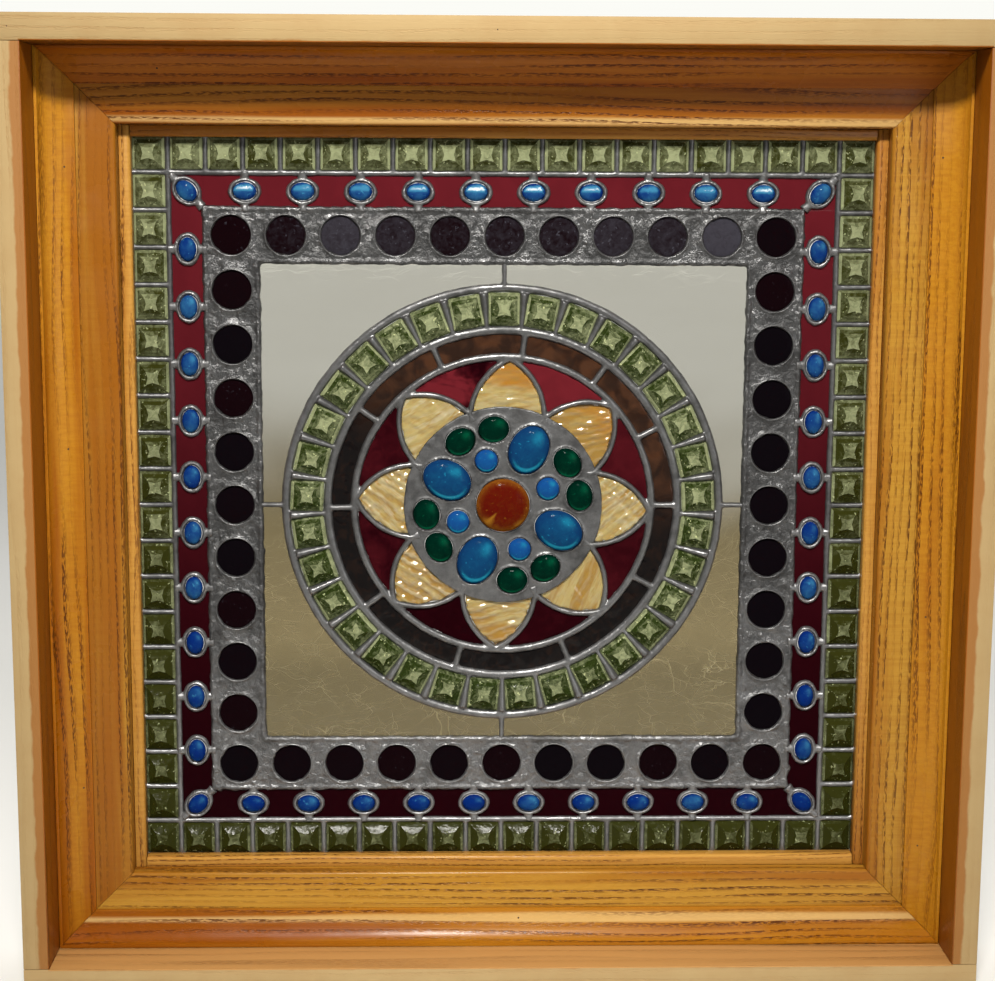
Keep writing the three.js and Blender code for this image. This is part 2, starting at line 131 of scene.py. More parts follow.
class WindowSizes(bpy.types.PropertyGroup):
    """Sizes of the leads, the glass and the jewels."""

    lip: length("Lip", 8, "Thickness of the rails' lip behind the panel")
    cove_fillet: length("Cove fillet", 2.2, "Flat beside the hollow of the cove")
    rail_arris: length("Rail arris", 2.5, "Radius of the rails' inner edge")
    bead_round: length("Bead round", 3, "Radius of the stop beads' nose")
    wood_edge: length("Wood edge", 0.5, "Softening of the wood's edges")
    panel_front: length("Panel front", 13, "Front of the lead's leaf, from the back of the box")
    lead: length("Lead", 5, "Width of the leads")
    petal_lead: length("Petal lead", 4.4, "Width of the leads between petals and wedges")
    lead_crown: length("Lead crown", 3.5, "Half the thickness of a lead through the glass")
    ring_lead: length("Ring lead", 6, "Width of the lead round the flower")
    jewel_row: length("Jewel row", 261.25, "Middle of the panel to the row of square jewels")
    jewel: length("Jewel", 23, "Side of a square jewel")
    jewel_table: length("Jewel table", 8, "Side of a square jewel's flat top")
    jewel_rise: length("Jewel rise", 5, "Height of a square jewel over the leads")
    oval_row: length("Oval row", 234, "Middle of the panel to the row of blue ovals")
    oval_band: length("Oval band", 27, "Width of the ruby border with its leads")
    oval_length: length("Oval length", 18, "Length of a border oval")
    oval_width: length("Oval width", 13.6, "Width of a border oval")
    oval_collar: length("Oval collar", 3.2, "Width of the collar round an oval")
    oval_rise: length("Oval rise", 4.4, "Height of an oval over the leads")
    ruby_sunk: length("Ruby sunk", 1.2, "How deep the ruby strips lie under the leads' face")
    rondel_row: length("Rondel row", 202, "Middle of the panel to the row of rondels")
    rondel_band: length("Rondel band", 37, "Width of the solder band of the rondels")
    rondel: length("Rondel", 29, "Diameter of a rondel")
    boss: length("Boss", 72.5, "Radius of the jewelled boss")
    flower: length("Flower", 109.5, "Radius of the petals' tips")
    dark_ring: length("Dark ring", 13.5, "Width of the dark ring")
    jewel_ring: length("Jewel ring", 148, "Radius of the ring of square jewels")
    ring: length("Ring", 167, "Outer radius of the ring")
    centre: length("Centre jewel", 41, "Diameter of the centre jewel")
    centre_rise: length("Centre rise", 8, "Height of the centre jewel")
    big_oval_length: length("Big oval length", 38, "Length of a big blue oval")
    big_oval_width: length("Big oval width", 30, "Width of a big blue oval")
    big_oval_rise: length("Big oval rise", 7.5, "Height of a big blue oval")
    big_oval_place: length("Big oval place", 46.5, "Middle of the boss to the middle of a big oval")
    small_round: length("Small round", 17.5, "Diameter of a small blue jewel")
    small_rise: length("Small rise", 5, "Height of a small blue jewel")
    small_place: length("Small place", 36.25, "Middle of the boss to a small blue jewel")
    emerald_length: length("Emerald length", 24, "Length of an emerald jewel")
    emerald_width: length("Emerald width", 20.5, "Width of an emerald jewel")
    emerald_rise: length("Emerald rise", 5, "Height of an emerald jewel")
    emerald_place: length("Emerald place", 58.25, "Middle of the boss to an emerald jewel")
    emerald_spread: angle("Emerald spread", 13.3, "Angle of an emerald from the middle of its pair")
    boss_turn: angle("Boss turn", 24.5, "Clock angle of the first big oval")
    flower_turn: angle("Flower turn", 2.5, "Clock angle of the first petal")
    jewels_per_side: count("Jewels a side", 20, "Square jewels along one side")
    ovals_per_side: count("Ovals a side", 12, "Blue ovals along one side")
    rondels_per_side: count("Rondels a side", 11, "Rondels along one side")
    ring_jewels: count("Ring jewels", 33, "Square jewels in the ring")
    petals: count("Petals", 8, "Petals of the flower")


class WindowColours(bpy.types.PropertyGroup):
    """Colours of the finishes."""

    oak_light: colour("Oak light", (0.47, 0.232, 0.017), "Varnished oak between the grain")
    oak_deep: colour("Oak deep", (0.27, 0.077, 0.002), "Varnished oak in the growth rings")
    oak_line: colour("Oak line", (0.072, 0.020, 0.002), "Pores and late wood")
    # A painted highlight: the pale streak on the varnished oak.
    painted_highlight_streak: colour("Sapwood", (0.74, 0.54, 0.22), "Pale streak in the varnished oak")
    softwood: colour("Softwood", (0.41, 0.285, 0.128), "Bare softwood of the box")
    softwood_line: colour("Softwood line", (0.32, 0.175, 0.060), "Growth rings of the softwood")
    stain: colour("Stain", (0.24, 0.070, 0.002), "Stain on the inside of the box")
    # Painted light: the bottom board's stain, lighter where light falls on it from above.
    stain_lit_from_above: colour("Worn stain", (0.50, 0.27, 0.09), "Rubbed stain on the bottom board")
    bleed: colour("Bleed", (0.30, 0.125, 0.028), "Stain that ran over the front edges")
    solder: colour("Solder", (0.215, 0.215, 0.215), "Bright solder")
    patina: colour("Patina", (0.060, 0.060, 0.060), "Dull solder")
    clear_high: colour("Clear high", (1.0, 0.985, 0.90), "Crackled glass at the top")
    # Painted shade: the colour of the crackled glass at the bottom.
    clear_low_shaded: colour("Clear low", (0.32, 0.255, 0.130), "Crackled glass at the bottom")
    vein: colour("Vein", (0.95, 0.82, 0.50), "Veins of the crackled glass")
    dark: colour("Dark", (0.004, 0.003, 0.003), "Dark ring")
    dark_brown: colour("Dark brown", (0.055, 0.022, 0.010), "Brown streaks of the dark ring")
    ruby: colour("Ruby", (0.011, 0.0005, 0.0018), "Ruby glass")
    # Partly painted light higher up, partly light patches in the glass.
    ruby_light: colour("Ruby light", (0.118, 0.011, 0.016), "Light patches of the ruby glass")
    cream: colour("Cream", (0.34, 0.262, 0.096), "Petals, cream")
    amber: colour("Amber", (0.25, 0.142, 0.024), "Petals, amber")
    amber_deep: colour("Deep amber", (0.31, 0.125, 0.006), "Amber tips of petals")
    milk: colour("Milk", (0.40, 0.355, 0.22), "Petals, white streaks")
    green_deep: colour("Green deep", (0.030, 0.032, 0.005), "Shaded facets of the border's square jewels")
    ring_green: colour("Ring green", (0.022, 0.034, 0.006), "Shaded facets of the ring's square jewels")
    # Painted light: the lit facets of the square jewels.
    green_light: colour("Green light", (0.33, 0.36, 0.195), "Light parts of the square jewels")
    # Painted glints in the square jewels.
    green_painted_glint: colour("Green glint", (0.60, 0.62, 0.30), "Glints in the square jewels")
    border_blue: colour("Border blue", (0.002, 0.018, 0.135), "Deep blue of the border ovals")
    # The ovals' own pale blue, and also their painted glow and reflection.
    border_blue_light: colour("Light border blue", (0.040, 0.19, 0.33), "Pale blue of the border ovals")
    blue: colour("Blue", (0.004, 0.030, 0.100), "Blue jewels")
    # Painted glow at the light edges of the blue jewels.
    blue_light: colour("Blue light", (0.013, 0.225, 0.345), "Light blue edges")
    blue_small: colour("Small blue", (0.006, 0.052, 0.20), "Small blue jewels")
    emerald: colour("Emerald", (0.0001, 0.010, 0.006), "Emerald jewels")
    # Painted glow at the light edges of the emeralds.
    emerald_light: colour("Emerald light", (0.002, 0.090, 0.040), "Light edges of the emeralds")
    centre: colour("Centre", (0.080, 0.0045, 0.002), "Centre jewel")
    centre_light: colour("Centre light", (0.30, 0.13, 0.012), "Amber glow in the centre jewel")
    violet: colour("Violet", (0.003, 0.002, 0.003), "Rondels")
    violet_light: colour("Violet light", (0.0052, 0.0014, 0.0022), "Burgundy rondels")
    # Painted sheen of the top row's rondels.
    violet_sheen: colour("Violet sheen", (0.040, 0.038, 0.048), "Greyish rondels of the top row")


def sizes():
    return bpy.context.scene.window_sizes


def colours():
    return bpy.context.scene.window_colours


# Shader trees

class Graph:
    """Adds nodes to a material or a group. An input is a value or the socket that feeds it."""

    def __init__(self, tree):
        self.tree = tree

    def feed(self, socket, value):
        if isinstance(value, bpy.types.NodeSocket):
            self.tree.links.new(value, socket)
        else:
            socket.default_value = value

    def node(self, kind, settings=None, **inputs):
        made = self.tree.nodes.new("ShaderNode" + kind)
        for key, value in (settings or {}).items():
            setattr(made, key, value)
        for key, value in inputs.items():
            self.feed(made.inputs[key.replace("_", " ")], value)
        return made

    def math(self, operation, *values):
        made = self.node("Math", {"operation": operation})
        for socket, value in zip(made.inputs, values):
            self.feed(socket, value)
        return made.outputs[0]

    def plus(self, *values):
        return self.math("ADD", *values)

    def minus(self, *values):
        return self.math("SUBTRACT", *values)

    def times(self, *values):
        return self.math("MULTIPLY", *values)

    def swing(self, value, amount):
        """A value's distance from its middle, a half, times an amount."""
        return self.times(self.minus(value, 0.5), amount)

    def vector(self, operation, *values):
        made = self.node("VectorMath", {"operation": operation})
        for socket, value in zip(made.inputs, values):
            self.feed(socket, value)
        return made.outputs[0]

    def mix(self, share, low, high):
        made = self.node("Mix", {"data_type": "RGBA"})
        for index, value in ((0, share), (6, low), (7, high)):
            self.feed(made.inputs[index], value)
        return made.outputs[2]

    def ramp(self, value, start, end, low=0.0, high=1.0):
        made = self.node("MapRange", {"interpolation_type": "SMOOTHSTEP"}, Value=value)
        for index, number in ((1, start), (2, end), (3, low), (4, high)):
            self.feed(made.inputs[index], number)
        return made.outputs[0]

    def noise(self, vector, scale, detail=2.0, roughness=0.5, distortion=0.0):
        amounts = {"Scale": scale, "Detail": detail, "Roughness": roughness, "Distortion": distortion}
        return self.node("TexNoise", Vector=vector, **amounts).outputs[0]

    def place(self, vector, move=(0, 0, 0), turn=(0, 0, 0), scale=(1, 1, 1)):
        return self.node("Mapping", Vector=vector, Location=move, Rotation=turn, Scale=scale).outputs[0]

    def parts(self, vector):
        return self.node("SeparateXYZ", Vector=vector).outputs

    def height(self, place):
        """The height over the middle of the panel."""
        return self.minus(self.parts(place)[2], MIDDLE)

    def group(self, maker, **inputs):
        made = self.tree.nodes.new("ShaderNodeGroup")
        made.node_tree = shared(maker)
        for key, value in inputs.items():
            self.feed(made.inputs[key.replace("_", " ")], value)
        return made.outputs

    def attribute(self, name):
        return self.node("Attribute", {"attribute_name": name}).outputs["Fac"]

    def paint(self, colour, roughness=None):
        """Gives a material its colour, and its roughness where that changes from place to place."""
        self.feed(self.shader.inputs["Base Color"], colour)
        if roughness is not None:
            self.feed(self.shader.inputs["Roughness"], roughness)

    def bump(self, height, strength, distance):
        made = self.node("Bump", Strength=strength, Distance=distance, Height=height)
        self.feed(self.shader.inputs["Normal"], made.outputs[0])


def new_group(name, inputs, outputs):
    """An empty shader group, its graph, and its input and output nodes."""
    tree = bpy.data.node_groups.new(name, "ShaderNodeTree")
    for label, kind, default in inputs:
        socket = tree.interface.new_socket(name=label, in_out="INPUT", socket_type="NodeSocket" + kind)
        if default is not None:
            socket.default_value = default
    for label in outputs:
        tree.interface.new_socket(name=label, in_out="OUTPUT", socket_type="NodeSocketFloat")
    graph = Graph(tree)
    return tree, graph, tree.nodes.new("NodeGroupInput").outputs, tree.nodes.new("NodeGroupOutput").inputs


def grain_group():
    """Growth rings, pores and slow changes of tone in wood whose grain runs along its first axis."""
    tree, g, given, out = new_group(
        "Wood grain",
        [("Vector", "Vector", None), ("Rings", "Float", 80.0), ("Pore Length", "Float", 1.0)],
        ["Band", "Pores", "Tone", "Height"],
    )
    vector = given["Vector"]
    moved = vector
    for stretch, reach_out in (((2.2, 16, 16), 0.024), ((7.0, 75, 75), 0.0050)):
        sway = g.node("TexNoise", Vector=g.place(vector, scale=stretch), Scale=1.0, Detail=1.5)
        sway = g.vector("SUBTRACT", sway.outputs["Color"], (0.5, 0.5, 0.5))
        moved = g.vector("ADD", moved, g.vector("MULTIPLY", sway, (0.0, reach_out, reach_out)))
    log = g.place(moved, turn=(0, 0.05, 0.07), scale=(0.05, 1, 1))
    profile = {"wave_type": "RINGS", "rings_direction": "X", "wave_profile": "SAW"}
    ring = g.node("TexWave", profile, Vector=log, Scale=given["Rings"], Distortion=1.0, Detail=2.0)
    ring = ring.outputs["Fac"]
    patches = g.ramp(g.noise(g.place(vector, scale=(4, 60, 60)), 1.0, 2.0, 0.55), 0.36, 0.64, 0.12, 1.0)
    band = g.times(g.math("POWER", ring, 2.2), patches)
    fibre = g.noise(g.place(vector, scale=(9, 700, 700)), 1.0, 3.0, 0.6)
    dashes = g.noise(g.place(vector, scale=(220, 1300, 1300)), given["Pore Length"], 1.0)
    pores = g.ramp(dashes, 0.42, 0.56)
    pores = g.times(pores, g.times(g.ramp(ring, 0.45, 0.92, 0.07, 1.0), patches))
    tone = g.noise(g.place(vector, scale=(1.1, 26, 26)), 1.0, 4.0, 0.60)
    streaks = g.times(band, g.ramp(fibre, 0.25, 0.75, 0.55, 1.0))
    streaks = g.times(streaks, g.ramp(dashes, 0.36, 0.56, 0.42, 1.0))
    g.feed(out["Band"], streaks)
    g.feed(out["Pores"], pores)
    g.feed(out["Tone"], tone)
    height = g.minus(g.times(fibre, 0.35), g.times(pores, 0.9))
    g.feed(out["Height"], g.minus(height, g.times(band, 0.12)))
    return tree


def wear_group():
    """Dust and rubbed patches: a slow mottle and a fine speckle."""
    tree, g, given, out = new_group(
        "Wear", [("Vector", "Vector", None), ("Scale", "Float", 30.0)], ["Mottle", "Speckle"]
    )
    coarse = g.noise(given["Vector"], given["Scale"], 4.0, 0.6)
    fine = g.noise(given["Vector"], g.times(given["Scale"], 14.0), 2.0)
    g.feed(out["Mottle"], g.ramp(coarse, 0.35, 0.70))
    g.feed(out["Speckle"], g.ramp(fine, 0.55, 0.72))
    return tree


def ripple_group():
    """The ripples and clouds of rolled and hammered glass."""
    tree, g, given, out = new_group(
        "Glass ripple",
        [("Vector", "Vector", None), ("Scale", "Float", 90.0), ("Cloud Scale", "Float", 22.0)],
        ["Height", "Cloud", "Streak"],
    )
    bent = g.noise(given["Vector"], g.times(given["Scale"], 0.35), 1.0)
    wave = g.noise(given["Vector"], given["Scale"], 1.0, 0.4, 0.6)
    g.feed(out["Height"], g.plus(wave, g.times(bent, 0.6)))
    cloud = g.noise(given["Vector"], given["Cloud Scale"], 3.0, 0.55, 0.8)
    g.feed(out["Cloud"], g.ramp(cloud, 0.36, 0.66))
    streak = g.noise(given["Vector"], g.times(given["Cloud Scale"], 3.0), 2.0, 0.5, 1.4)
    g.feed(out["Streak"], g.ramp(streak, 0.46, 0.68))
    return tree


def crackle_group():
    """Long flowing cracks in the face of crackled glass."""
    tree, g, given, out = new_group("Crackle", [("Vector", "Vector", None)], ["Vein", "Height", "Mottle"])
    vector = given["Vector"]
    bend = g.node("TexNoise", Vector=vector, Scale=14.0, Detail=3.0, Roughness=0.6).outputs["Color"]
    bend = g.vector("MULTIPLY", g.vector("SUBTRACT", bend, (0.5, 0.5, 0.5)), (0.03, 0.03, 0.03))
    moved = g.vector("ADD", vector, bend)
    veins = None
    for scale, squeeze, width in ((13.0, 3.2, 0.004), (30.0, 2.6, 0.007), (64.0, 2.2, 0.010)):
        flat = g.place(moved, scale=(1, 1, squeeze))
        cells = g.node("TexVoronoi", {"feature": "DISTANCE_TO_EDGE"}, Vector=flat, Scale=scale)
        line = g.ramp(cells.outputs["Distance"], width, 0.0)
        broken = g.ramp(g.noise(vector, scale * 0.9, 2.0), 0.40, 0.56)
        line = g.times(line, broken)
        veins = line if veins is None else g.math("MAXIMUM", veins, line)
    flow = g.noise(g.place(moved, scale=(1, 1, 2.2)), 26.0, 3.0, 0.55)
    thread = g.ramp(g.math("ABSOLUTE", g.minus(flow, 0.5)), 0.008, 0.0)
    thread = g.times(thread, g.ramp(g.noise(vector, 11.0, 1.0), 0.5, 0.62))
    veins = g.math("MAXIMUM", veins, thread)
    g.feed(out["Vein"], veins)
    g.feed(out["Mottle"], flow)
    g.feed(out["Height"], g.plus(g.times(flow, 0.5), g.times(veins, 0.04)))
    return tree


GROUPS = {}


def shared(maker):
    """A node group that several finishes use, made once."""
    if maker.__name__ not in GROUPS:
        GROUPS[maker.__name__] = maker()
    return GROUPS[maker.__name__]


def new_material(
    name, roughness, metallic=0.0, transmission=0.0, ior=1.5, coat=0.0, coat_roughness=0.1, shine=0.5
):
    """A material, its graph and its place coordinates."""
    material = bpy.data.materials.new(name)
    material.use_nodes = True
    g = Graph(material.node_tree)
    g.shader = material.node_tree.nodes["Principled BSDF"]
    for socket, value in (
        ("Roughness", roughness),
        ("Metallic", metallic),
        ("Transmission Weight", transmission),
        ("IOR", ior),
        ("Coat Weight", coat),
        ("Coat Roughness", coat_roughness),
        ("Specular IOR Level", shine),
    ):
        g.shader.inputs[socket].default_value = value
    return material, g, g.node("TexCoord").outputs["Object"]


def grain_vector(g, place, upright, seed):
    """Coordinates whose first axis runs along the grain, moved to a part of the log of its own."""
    turn = (0, QUARTER, 0) if upright else (0, 0, 0)
    turned = g.place(place, turn=turn)
    return g.place(turned, move=(seed * 1.7, 0.035 + 0.011 * seed, 0.05 - 0.017 * seed))


def oak(name, upright, seed, rings, shade, highlight_at, tint):
    """Honey-varnished oak; a board may have a painted highlight, a pale streak at a distance from the
    middle.
    """
    c = colours()
    material, g, place = new_material(name, 0.36, coat=0.03, coat_roughness=0.2, shine=0.17)
    vector = grain_vector(g, place, upright, seed)
    grain = g.group(grain_group, Vector=vector, Rings=rings, Pore_Length=1.0)
    wear = g.group(wear_group, Vector=place, Scale=18.0)
    light, deep, line = (
        [x * y * shade ** power for x, y, power in zip(shades[:3], tint, (1.0, 1.6, 2.2))] + [1]
        for shades in (c.oak_light, c.oak_deep, c.oak_line)
    )
    fibre = g.place(place, turn=(0, QUARTER if upright else 0, 0), scale=(12, 420, 420))
    fine = g.noise(fibre, 1.0, 3.0, 0.6)
    base = g.mix(g.ramp(grain["Tone"], 0.40, 0.60, 0.0, 0.9), light, deep)
    base = g.mix(g.ramp(fine, 0.35, 0.70, 0.0, 0.28), base, deep)
    # Painted highlight: a pale streak along the board at a set distance from the middle.
    if highlight_at:
        rise = g.math("ABSOLUTE", g.height(place))
        away = g.math("ABSOLUTE", g.minus(rise, highlight_at))
        away = g.plus(away, g.swing(grain["Tone"], 0.012))
        base = g.mix(g.ramp(away, 0.0040, 0.0008, 0.0, 0.5), base, c.painted_highlight_streak)
    base = g.mix(g.times(grain["Band"], 0.8), base, deep)
    base = g.mix(g.times(g.math("POWER", grain["Band"], 2.0), 0.34), base, line)
    base = g.mix(g.times(grain["Pores"], 0.88), base, line)
    g.paint(base, g.ramp(wear["Mottle"], 0.0, 1.0, 0.26, 0.42))
    g.bump(grain["Height"], 0.4, 0.0006)
    return material


def box_wood(name, upright, seed, stain):
    """Bare softwood, stained on the inner face, the stain bleeding over the front edge."""
    c = colours()
    material, g, place = new_material(name, 0.62, shine=0.25)
    vector = grain_vector(g, place, upright, seed)
    grain = g.group(grain_group, Vector=vector, Rings=BOX_RINGS, Pore_Length=0.8)
    wear = g.group(wear_group, Vector=place, Scale=26.0)
    bare = g.mix(g.times(grain["Band"], 0.55), c.softwood, c.softwood_line)
    bare = g.mix(g.times(wear["Mottle"], 0.22), bare, c.softwood_line)
    parts = g.parts(place)
    across, height = g.math("ABSOLUTE", parts[0]), parts[2]
    rise = g.math("ABSOLUTE", g.minus(height, MIDDLE))
    out = g.math("MAXIMUM", across, rise)
    wander = g.swing(g.noise(place, 60.0, 3.0), 0.005)
    inside = g.plus(out, wander)
    side = g.math("LESS_THAN", rise, BOX_INNER)
    bleed_width = g.times(side, 0.0070)
    reached = g.minus(inside, bleed_width)
    bleed = g.ramp(reached, BOX_INNER + 0.0015, BOX_INNER - 0.0008, 0.0, 0.95)
    face = g.mix(bleed, bare, c.bleed)
    wall = g.ramp(out, BOX_INNER + 0.0012, BOX_INNER + 0.0006)
    stained = g.mix(g.times(grain["Tone"], 0.5), stain, c.oak_deep)
    stained = g.mix(g.times(grain["Band"], 0.7), stained, c.oak_line)
    g.paint(g.mix(wall, face, stained), g.ramp(wall, 0.0, 1.0, 0.66, 0.40))
    g.bump(grain["Height"], 0.4, 0.0008)
    return material


def filler():
    """Dark nail holes and wood filler."""
    material, g, place = new_material("nail_hole", 0.8)
    wear = g.group(wear_group, Vector=place, Scale=300.0)
    base = g.mix(wear["Mottle"], (0.035, 0.016, 0.008, 1), (0.10, 0.05, 0.025, 1))
    g.paint(base)
    return material


def solder(name, dull, lump, polish=0.40):
    """Grey solder and lead, brighter where it was rubbed, and darker lower down as painted shade."""
    c = colours()
    material, g, place = new_material(name, 0.4, metallic=0.8)
    wear = g.group(wear_group, Vector=place, Scale=42.0)
    fine = g.group(wear_group, Vector=place, Scale=160.0)
    tone = g.math("MULTIPLY_ADD", wear["Mottle"], 0.55, dull)
    tone = g.plus(tone, g.times(fine["Mottle"], 0.25))
    # Painted shade: the solder darkens lower down.
    tone = g.plus(tone, g.ramp(g.height(place), -0.26, 0.0, -0.45, 0.10))
    base = g.mix(tone, c.solder, c.patina)
    base = g.mix(g.times(fine["Speckle"], 0.5), base, c.patina)
    g.paint(base, g.ramp(wear["Mottle"], 0.0, 1.0, polish - 0.08, polish + 0.14))
    rough = g.noise(place, 230.0, 4.0, 0.65, 0.5)
    g.bump(rough, 0.7, lump)
    return material


def crackle_glass():
    """Clear glass with a crackled face, darker and warmer towards the bottom as painted shade."""
    c = colours()
    material, g, place = new_material("crackle_glass", 0.05, transmission=1.0, ior=1.45)
    crackle = g.group(crackle_group, Vector=place)
    height = g.height(place)
    sway = g.swing(g.noise(place, 7.0, 2.0), 0.12)
    # Painted shade: the glass darkens towards its bottom colour lower down.
    low = g.ramp(g.plus(height, sway), 0.10, -0.03)
    base = g.mix(low, c.clear_high, c.clear_low_shaded)
    base = g.mix(g.times(crackle["Mottle"], 0.06), base, c.clear_low_shaded)
    vein = g.times(crackle["Vein"], g.ramp(height, 0.08, -0.12, 0.07, 0.80))
    g.paint(g.mix(vein, base, c.vein), g.ramp(vein, 0.0, 1.0, 0.05, 0.45))
    g.bump(crackle["Height"], 0.16, 0.0006)
    return material


def dark_glass():
    """Near-black rippled glass, brown at the top of the ring."""
    c = colours()
    material, g, place = new_material("dark_glass", 0.10, transmission=0.1, ior=1.25, shine=0.5)
    ripple = g.group(ripple_group, Vector=place, Scale=110.0, Cloud_Scale=55.0)
    parts = g.parts(place)
    top = g.ramp(g.plus(parts[2], g.times(parts[0], 0.35)), MIDDLE, MIDDLE + 0.10)
    brown = g.times(top, g.math("MULTIPLY_ADD", ripple["Cloud"], 0.7, 0.3))
    brown = g.math("MAXIMUM", brown, g.times(ripple["Streak"], 0.12))
    g.paint(g.mix(brown, c.dark, c.dark_brown))
    g.bump(ripple["Height"], 0.5, 0.0012)
    return material


def ruby_glass(name, light, patchy, low=-0.27, high=0.24):
    """Ruby glass: its light colour grows between two heights as painted light from above, and comes in
    patches.
    """
    c = colours()
    material, g, place = new_material(name, 0.08, transmission=0.15, ior=1.12, shine=0.1)
    ripple = g.group(ripple_group, Vector=place, Scale=80.0, Cloud_Scale=30.0)
    # Painted light: the ruby is lighter higher up.
    up = g.ramp(g.parts(place)[2], MIDDLE + low, MIDDLE + high)
    up = g.math("POWER", up, 1.8)
    share = g.times(up, g.math("MULTIPLY_ADD", ripple["Cloud"], patchy, 1.0 - patchy))
    streaks = g.times(ripple["Streak"], 0.10 * patchy)
    share = g.plus(g.times(share, light), streaks)
    g.paint(g.mix(share, c.ruby, c.ruby_light))
    g.bump(ripple["Height"], 0.1 + 0.4 * patchy, 0.001)
    return material


def opal_glass(name, amber, milk, ripples, tip, turn):
    """Opalescent amber glass, its streaks along one direction."""
    c = colours()
    material, g, place = new_material(
        name, 0.16, transmission=0.05, coat=0.6, coat_roughness=0.06
    )
    g.shader.inputs["Subsurface Weight"].default_value = 0.08
    g.shader.inputs["Subsurface Scale"].default_value = 0.002
    turned = g.place(place, turn=(0, turn, 0))
    drawn = g.place(turned, scale=(0.4, 1, 1.6))
    ripple = g.group(ripple_group, Vector=drawn, Scale=150.0, Cloud_Scale=38.0)
    bands = {"bands_direction": "Z"}
    wave = g.node("TexWave", bands, Vector=turned, Scale=50.0, Distortion=9.0, Detail=3.0)
    g.feed(wave.inputs["Detail Scale"], 0.6)
    crest = g.ramp(wave.outputs["Fac"], 0.45, 0.95)
    base = g.mix(g.ramp(ripple["Cloud"], 0.75 - amber, 1.25 - amber), c.cream, c.amber)
    base = g.mix(g.times(g.minus(1.0, crest), 0.45 * ripples), base, c.amber)
    base = g.mix(g.times(ripple["Streak"], milk), base, c.milk)
    milky = g.times(g.times(crest, ripple["Cloud"]), 0.55 * ripples)
    base = g.mix(milky, base, c.milk)
    away = g.node("VectorMath", {"operation": "DISTANCE"})
    for socket, value in ((0, g.vector("MULTIPLY", place, (1, 0, 1))), (1, (0, 0, MIDDLE))):
        g.feed(away.inputs[socket], value)
    wander = g.times(ripple["Cloud"], 0.008)
    outer = g.ramp(g.plus(away.outputs["Value"], wander), 0.088, 0.100)
    base = g.mix(g.times(outer, tip), base, c.amber_deep)
    fine = g.noise(drawn, 260.0, 2.0)
    base = g.mix(g.ramp(fine, 0.50, 0.70, 0.0, 0.45), base, c.amber)
    g.paint(base)
    height = g.plus(ripple["Height"], g.times(wave.outputs["Fac"], 1.2 * ripples))
    g.bump(height, 0.4, 0.0018)
    return material


# Colour of painted highlights on the jewels.
PALE = (0.62, 0.74, 0.82, 1)
JEWEL_IOR = 1.15


def jewel_glass(
    name, deep, light, transmission, mottle_and_glints=0.0, shine=0.5, rough=0.04, shade_fall=0.0, vary=0.0, pale=PALE
):
    """Moulded glass: its tone runs from the deep colour to the light one and on to a pale one. The tone
    holds painted light and shade, rare bright specks are painted glints, lower down it is darkened as
    painted shade, and the pale colour is painted highlight and sheen.
    """
    material, g, place = new_material(
        name, rough, transmission=transmission, ior=JEWEL_IOR, shine=shine
    )
    tone = g.attribute("tone")
    if mottle_and_glints:
        ripple = g.group(ripple_group, Vector=place, Scale=300.0, Cloud_Scale=120.0)
        tone = g.plus(tone, g.swing(g.noise(place, 230.0, 2.0, 0.6, 1.0), mottle_and_glints))
        # Painted glints: rare bright specks.
        tone = g.plus(tone, g.ramp(g.noise(place, 420.0, 1.0), 0.66, 0.76, 0.0, mottle_and_glints))
        g.bump(ripple["Height"], 0.25, 0.0007)
    if shade_fall:
        # Painted shade: darker lower down.
        tone = g.minus(tone, g.ramp(g.height(place), 0.22, -0.26, 0.0, shade_fall))
    if vary:
        tone = g.plus(tone, g.swing(g.noise(place, 55.0, 2.0), vary))
    base = g.mix(g.ramp(tone, 0.0, 1.0), deep, light)
    # Painted highlight where the tone runs past one.
    g.paint(g.mix(g.ramp(tone, 1.1, 2.0), base, pale))
    return material


def stage_floor_material():
    material, g, place = new_material("stage_floor", 0.7)
    tone = g.noise(place, 1.5, 3.0)
    g.paint(g.mix(tone, (0.70, 0.69, 0.66, 1), (0.78, 0.77, 0.75, 1)))
    return material


# Meshes

def turned(bm, quarter, items=None):
    """Turns a bmesh, or some of its vertices, by quarter turns about the middle of the panel."""
    verts = bm.verts if items is None else items
    bmesh.ops.rotate(bm, verts=verts, cent=(0, 0, 0), matrix=Matrix.Rotation(quarter * QUARTER, 3, "Z"))


def at(spot, turn=0.0, up=0.0):
    """The move to a point of the panel, turned to a direction."""
    return Matrix.Translation((*spot, up)) @ Matrix.Rotation(turn, 4, "Z")


@contextmanager
def moved_by(bm, matrix):
    """Moves all that is made while it is open."""
    before = set(bm.verts)
    yield
    bmesh.ops.transform(bm, matrix=matrix, verts=[v for v in bm.verts if v not in before])


def on_side(bm, quarter):
    """Turns what is made while it is open from the bottom side to another side of the panel."""
    return moved_by(bm, Matrix.Rotation(quarter * QUARTER, 4, "Z"))


def each_side(bm):
    """Turns what is made in each round of a loop from the bottom side to the next side of the panel."""
    for quarter in range(4):
        with on_side(bm, quarter):
            yield


def soften(bm, width, limit=0.6):
    """Rounds the edges that are sharper than a limit."""
    edges = [e for e in bm.edges if e.is_manifold and e.calc_face_angle(0) > limit]
    bmesh.ops.bevel(
        bm, geom=edges, offset=width, segments=2, profile=0.5, affect="EDGES", material=-1,
        clamp_overlap=True,
    )


def close_holes(bm):
    open_edges = [e for e in bm.edges if e.is_boundary]
    if open_edges:
        bmesh.ops.holes_fill(bm, edges=open_edges, sides=0)


def placed(name, data):
    """A new object in the scene."""
    thing = bpy.data.objects.new(name, data)
    bpy.context.scene.collection.objects.link(thing)
    return thing


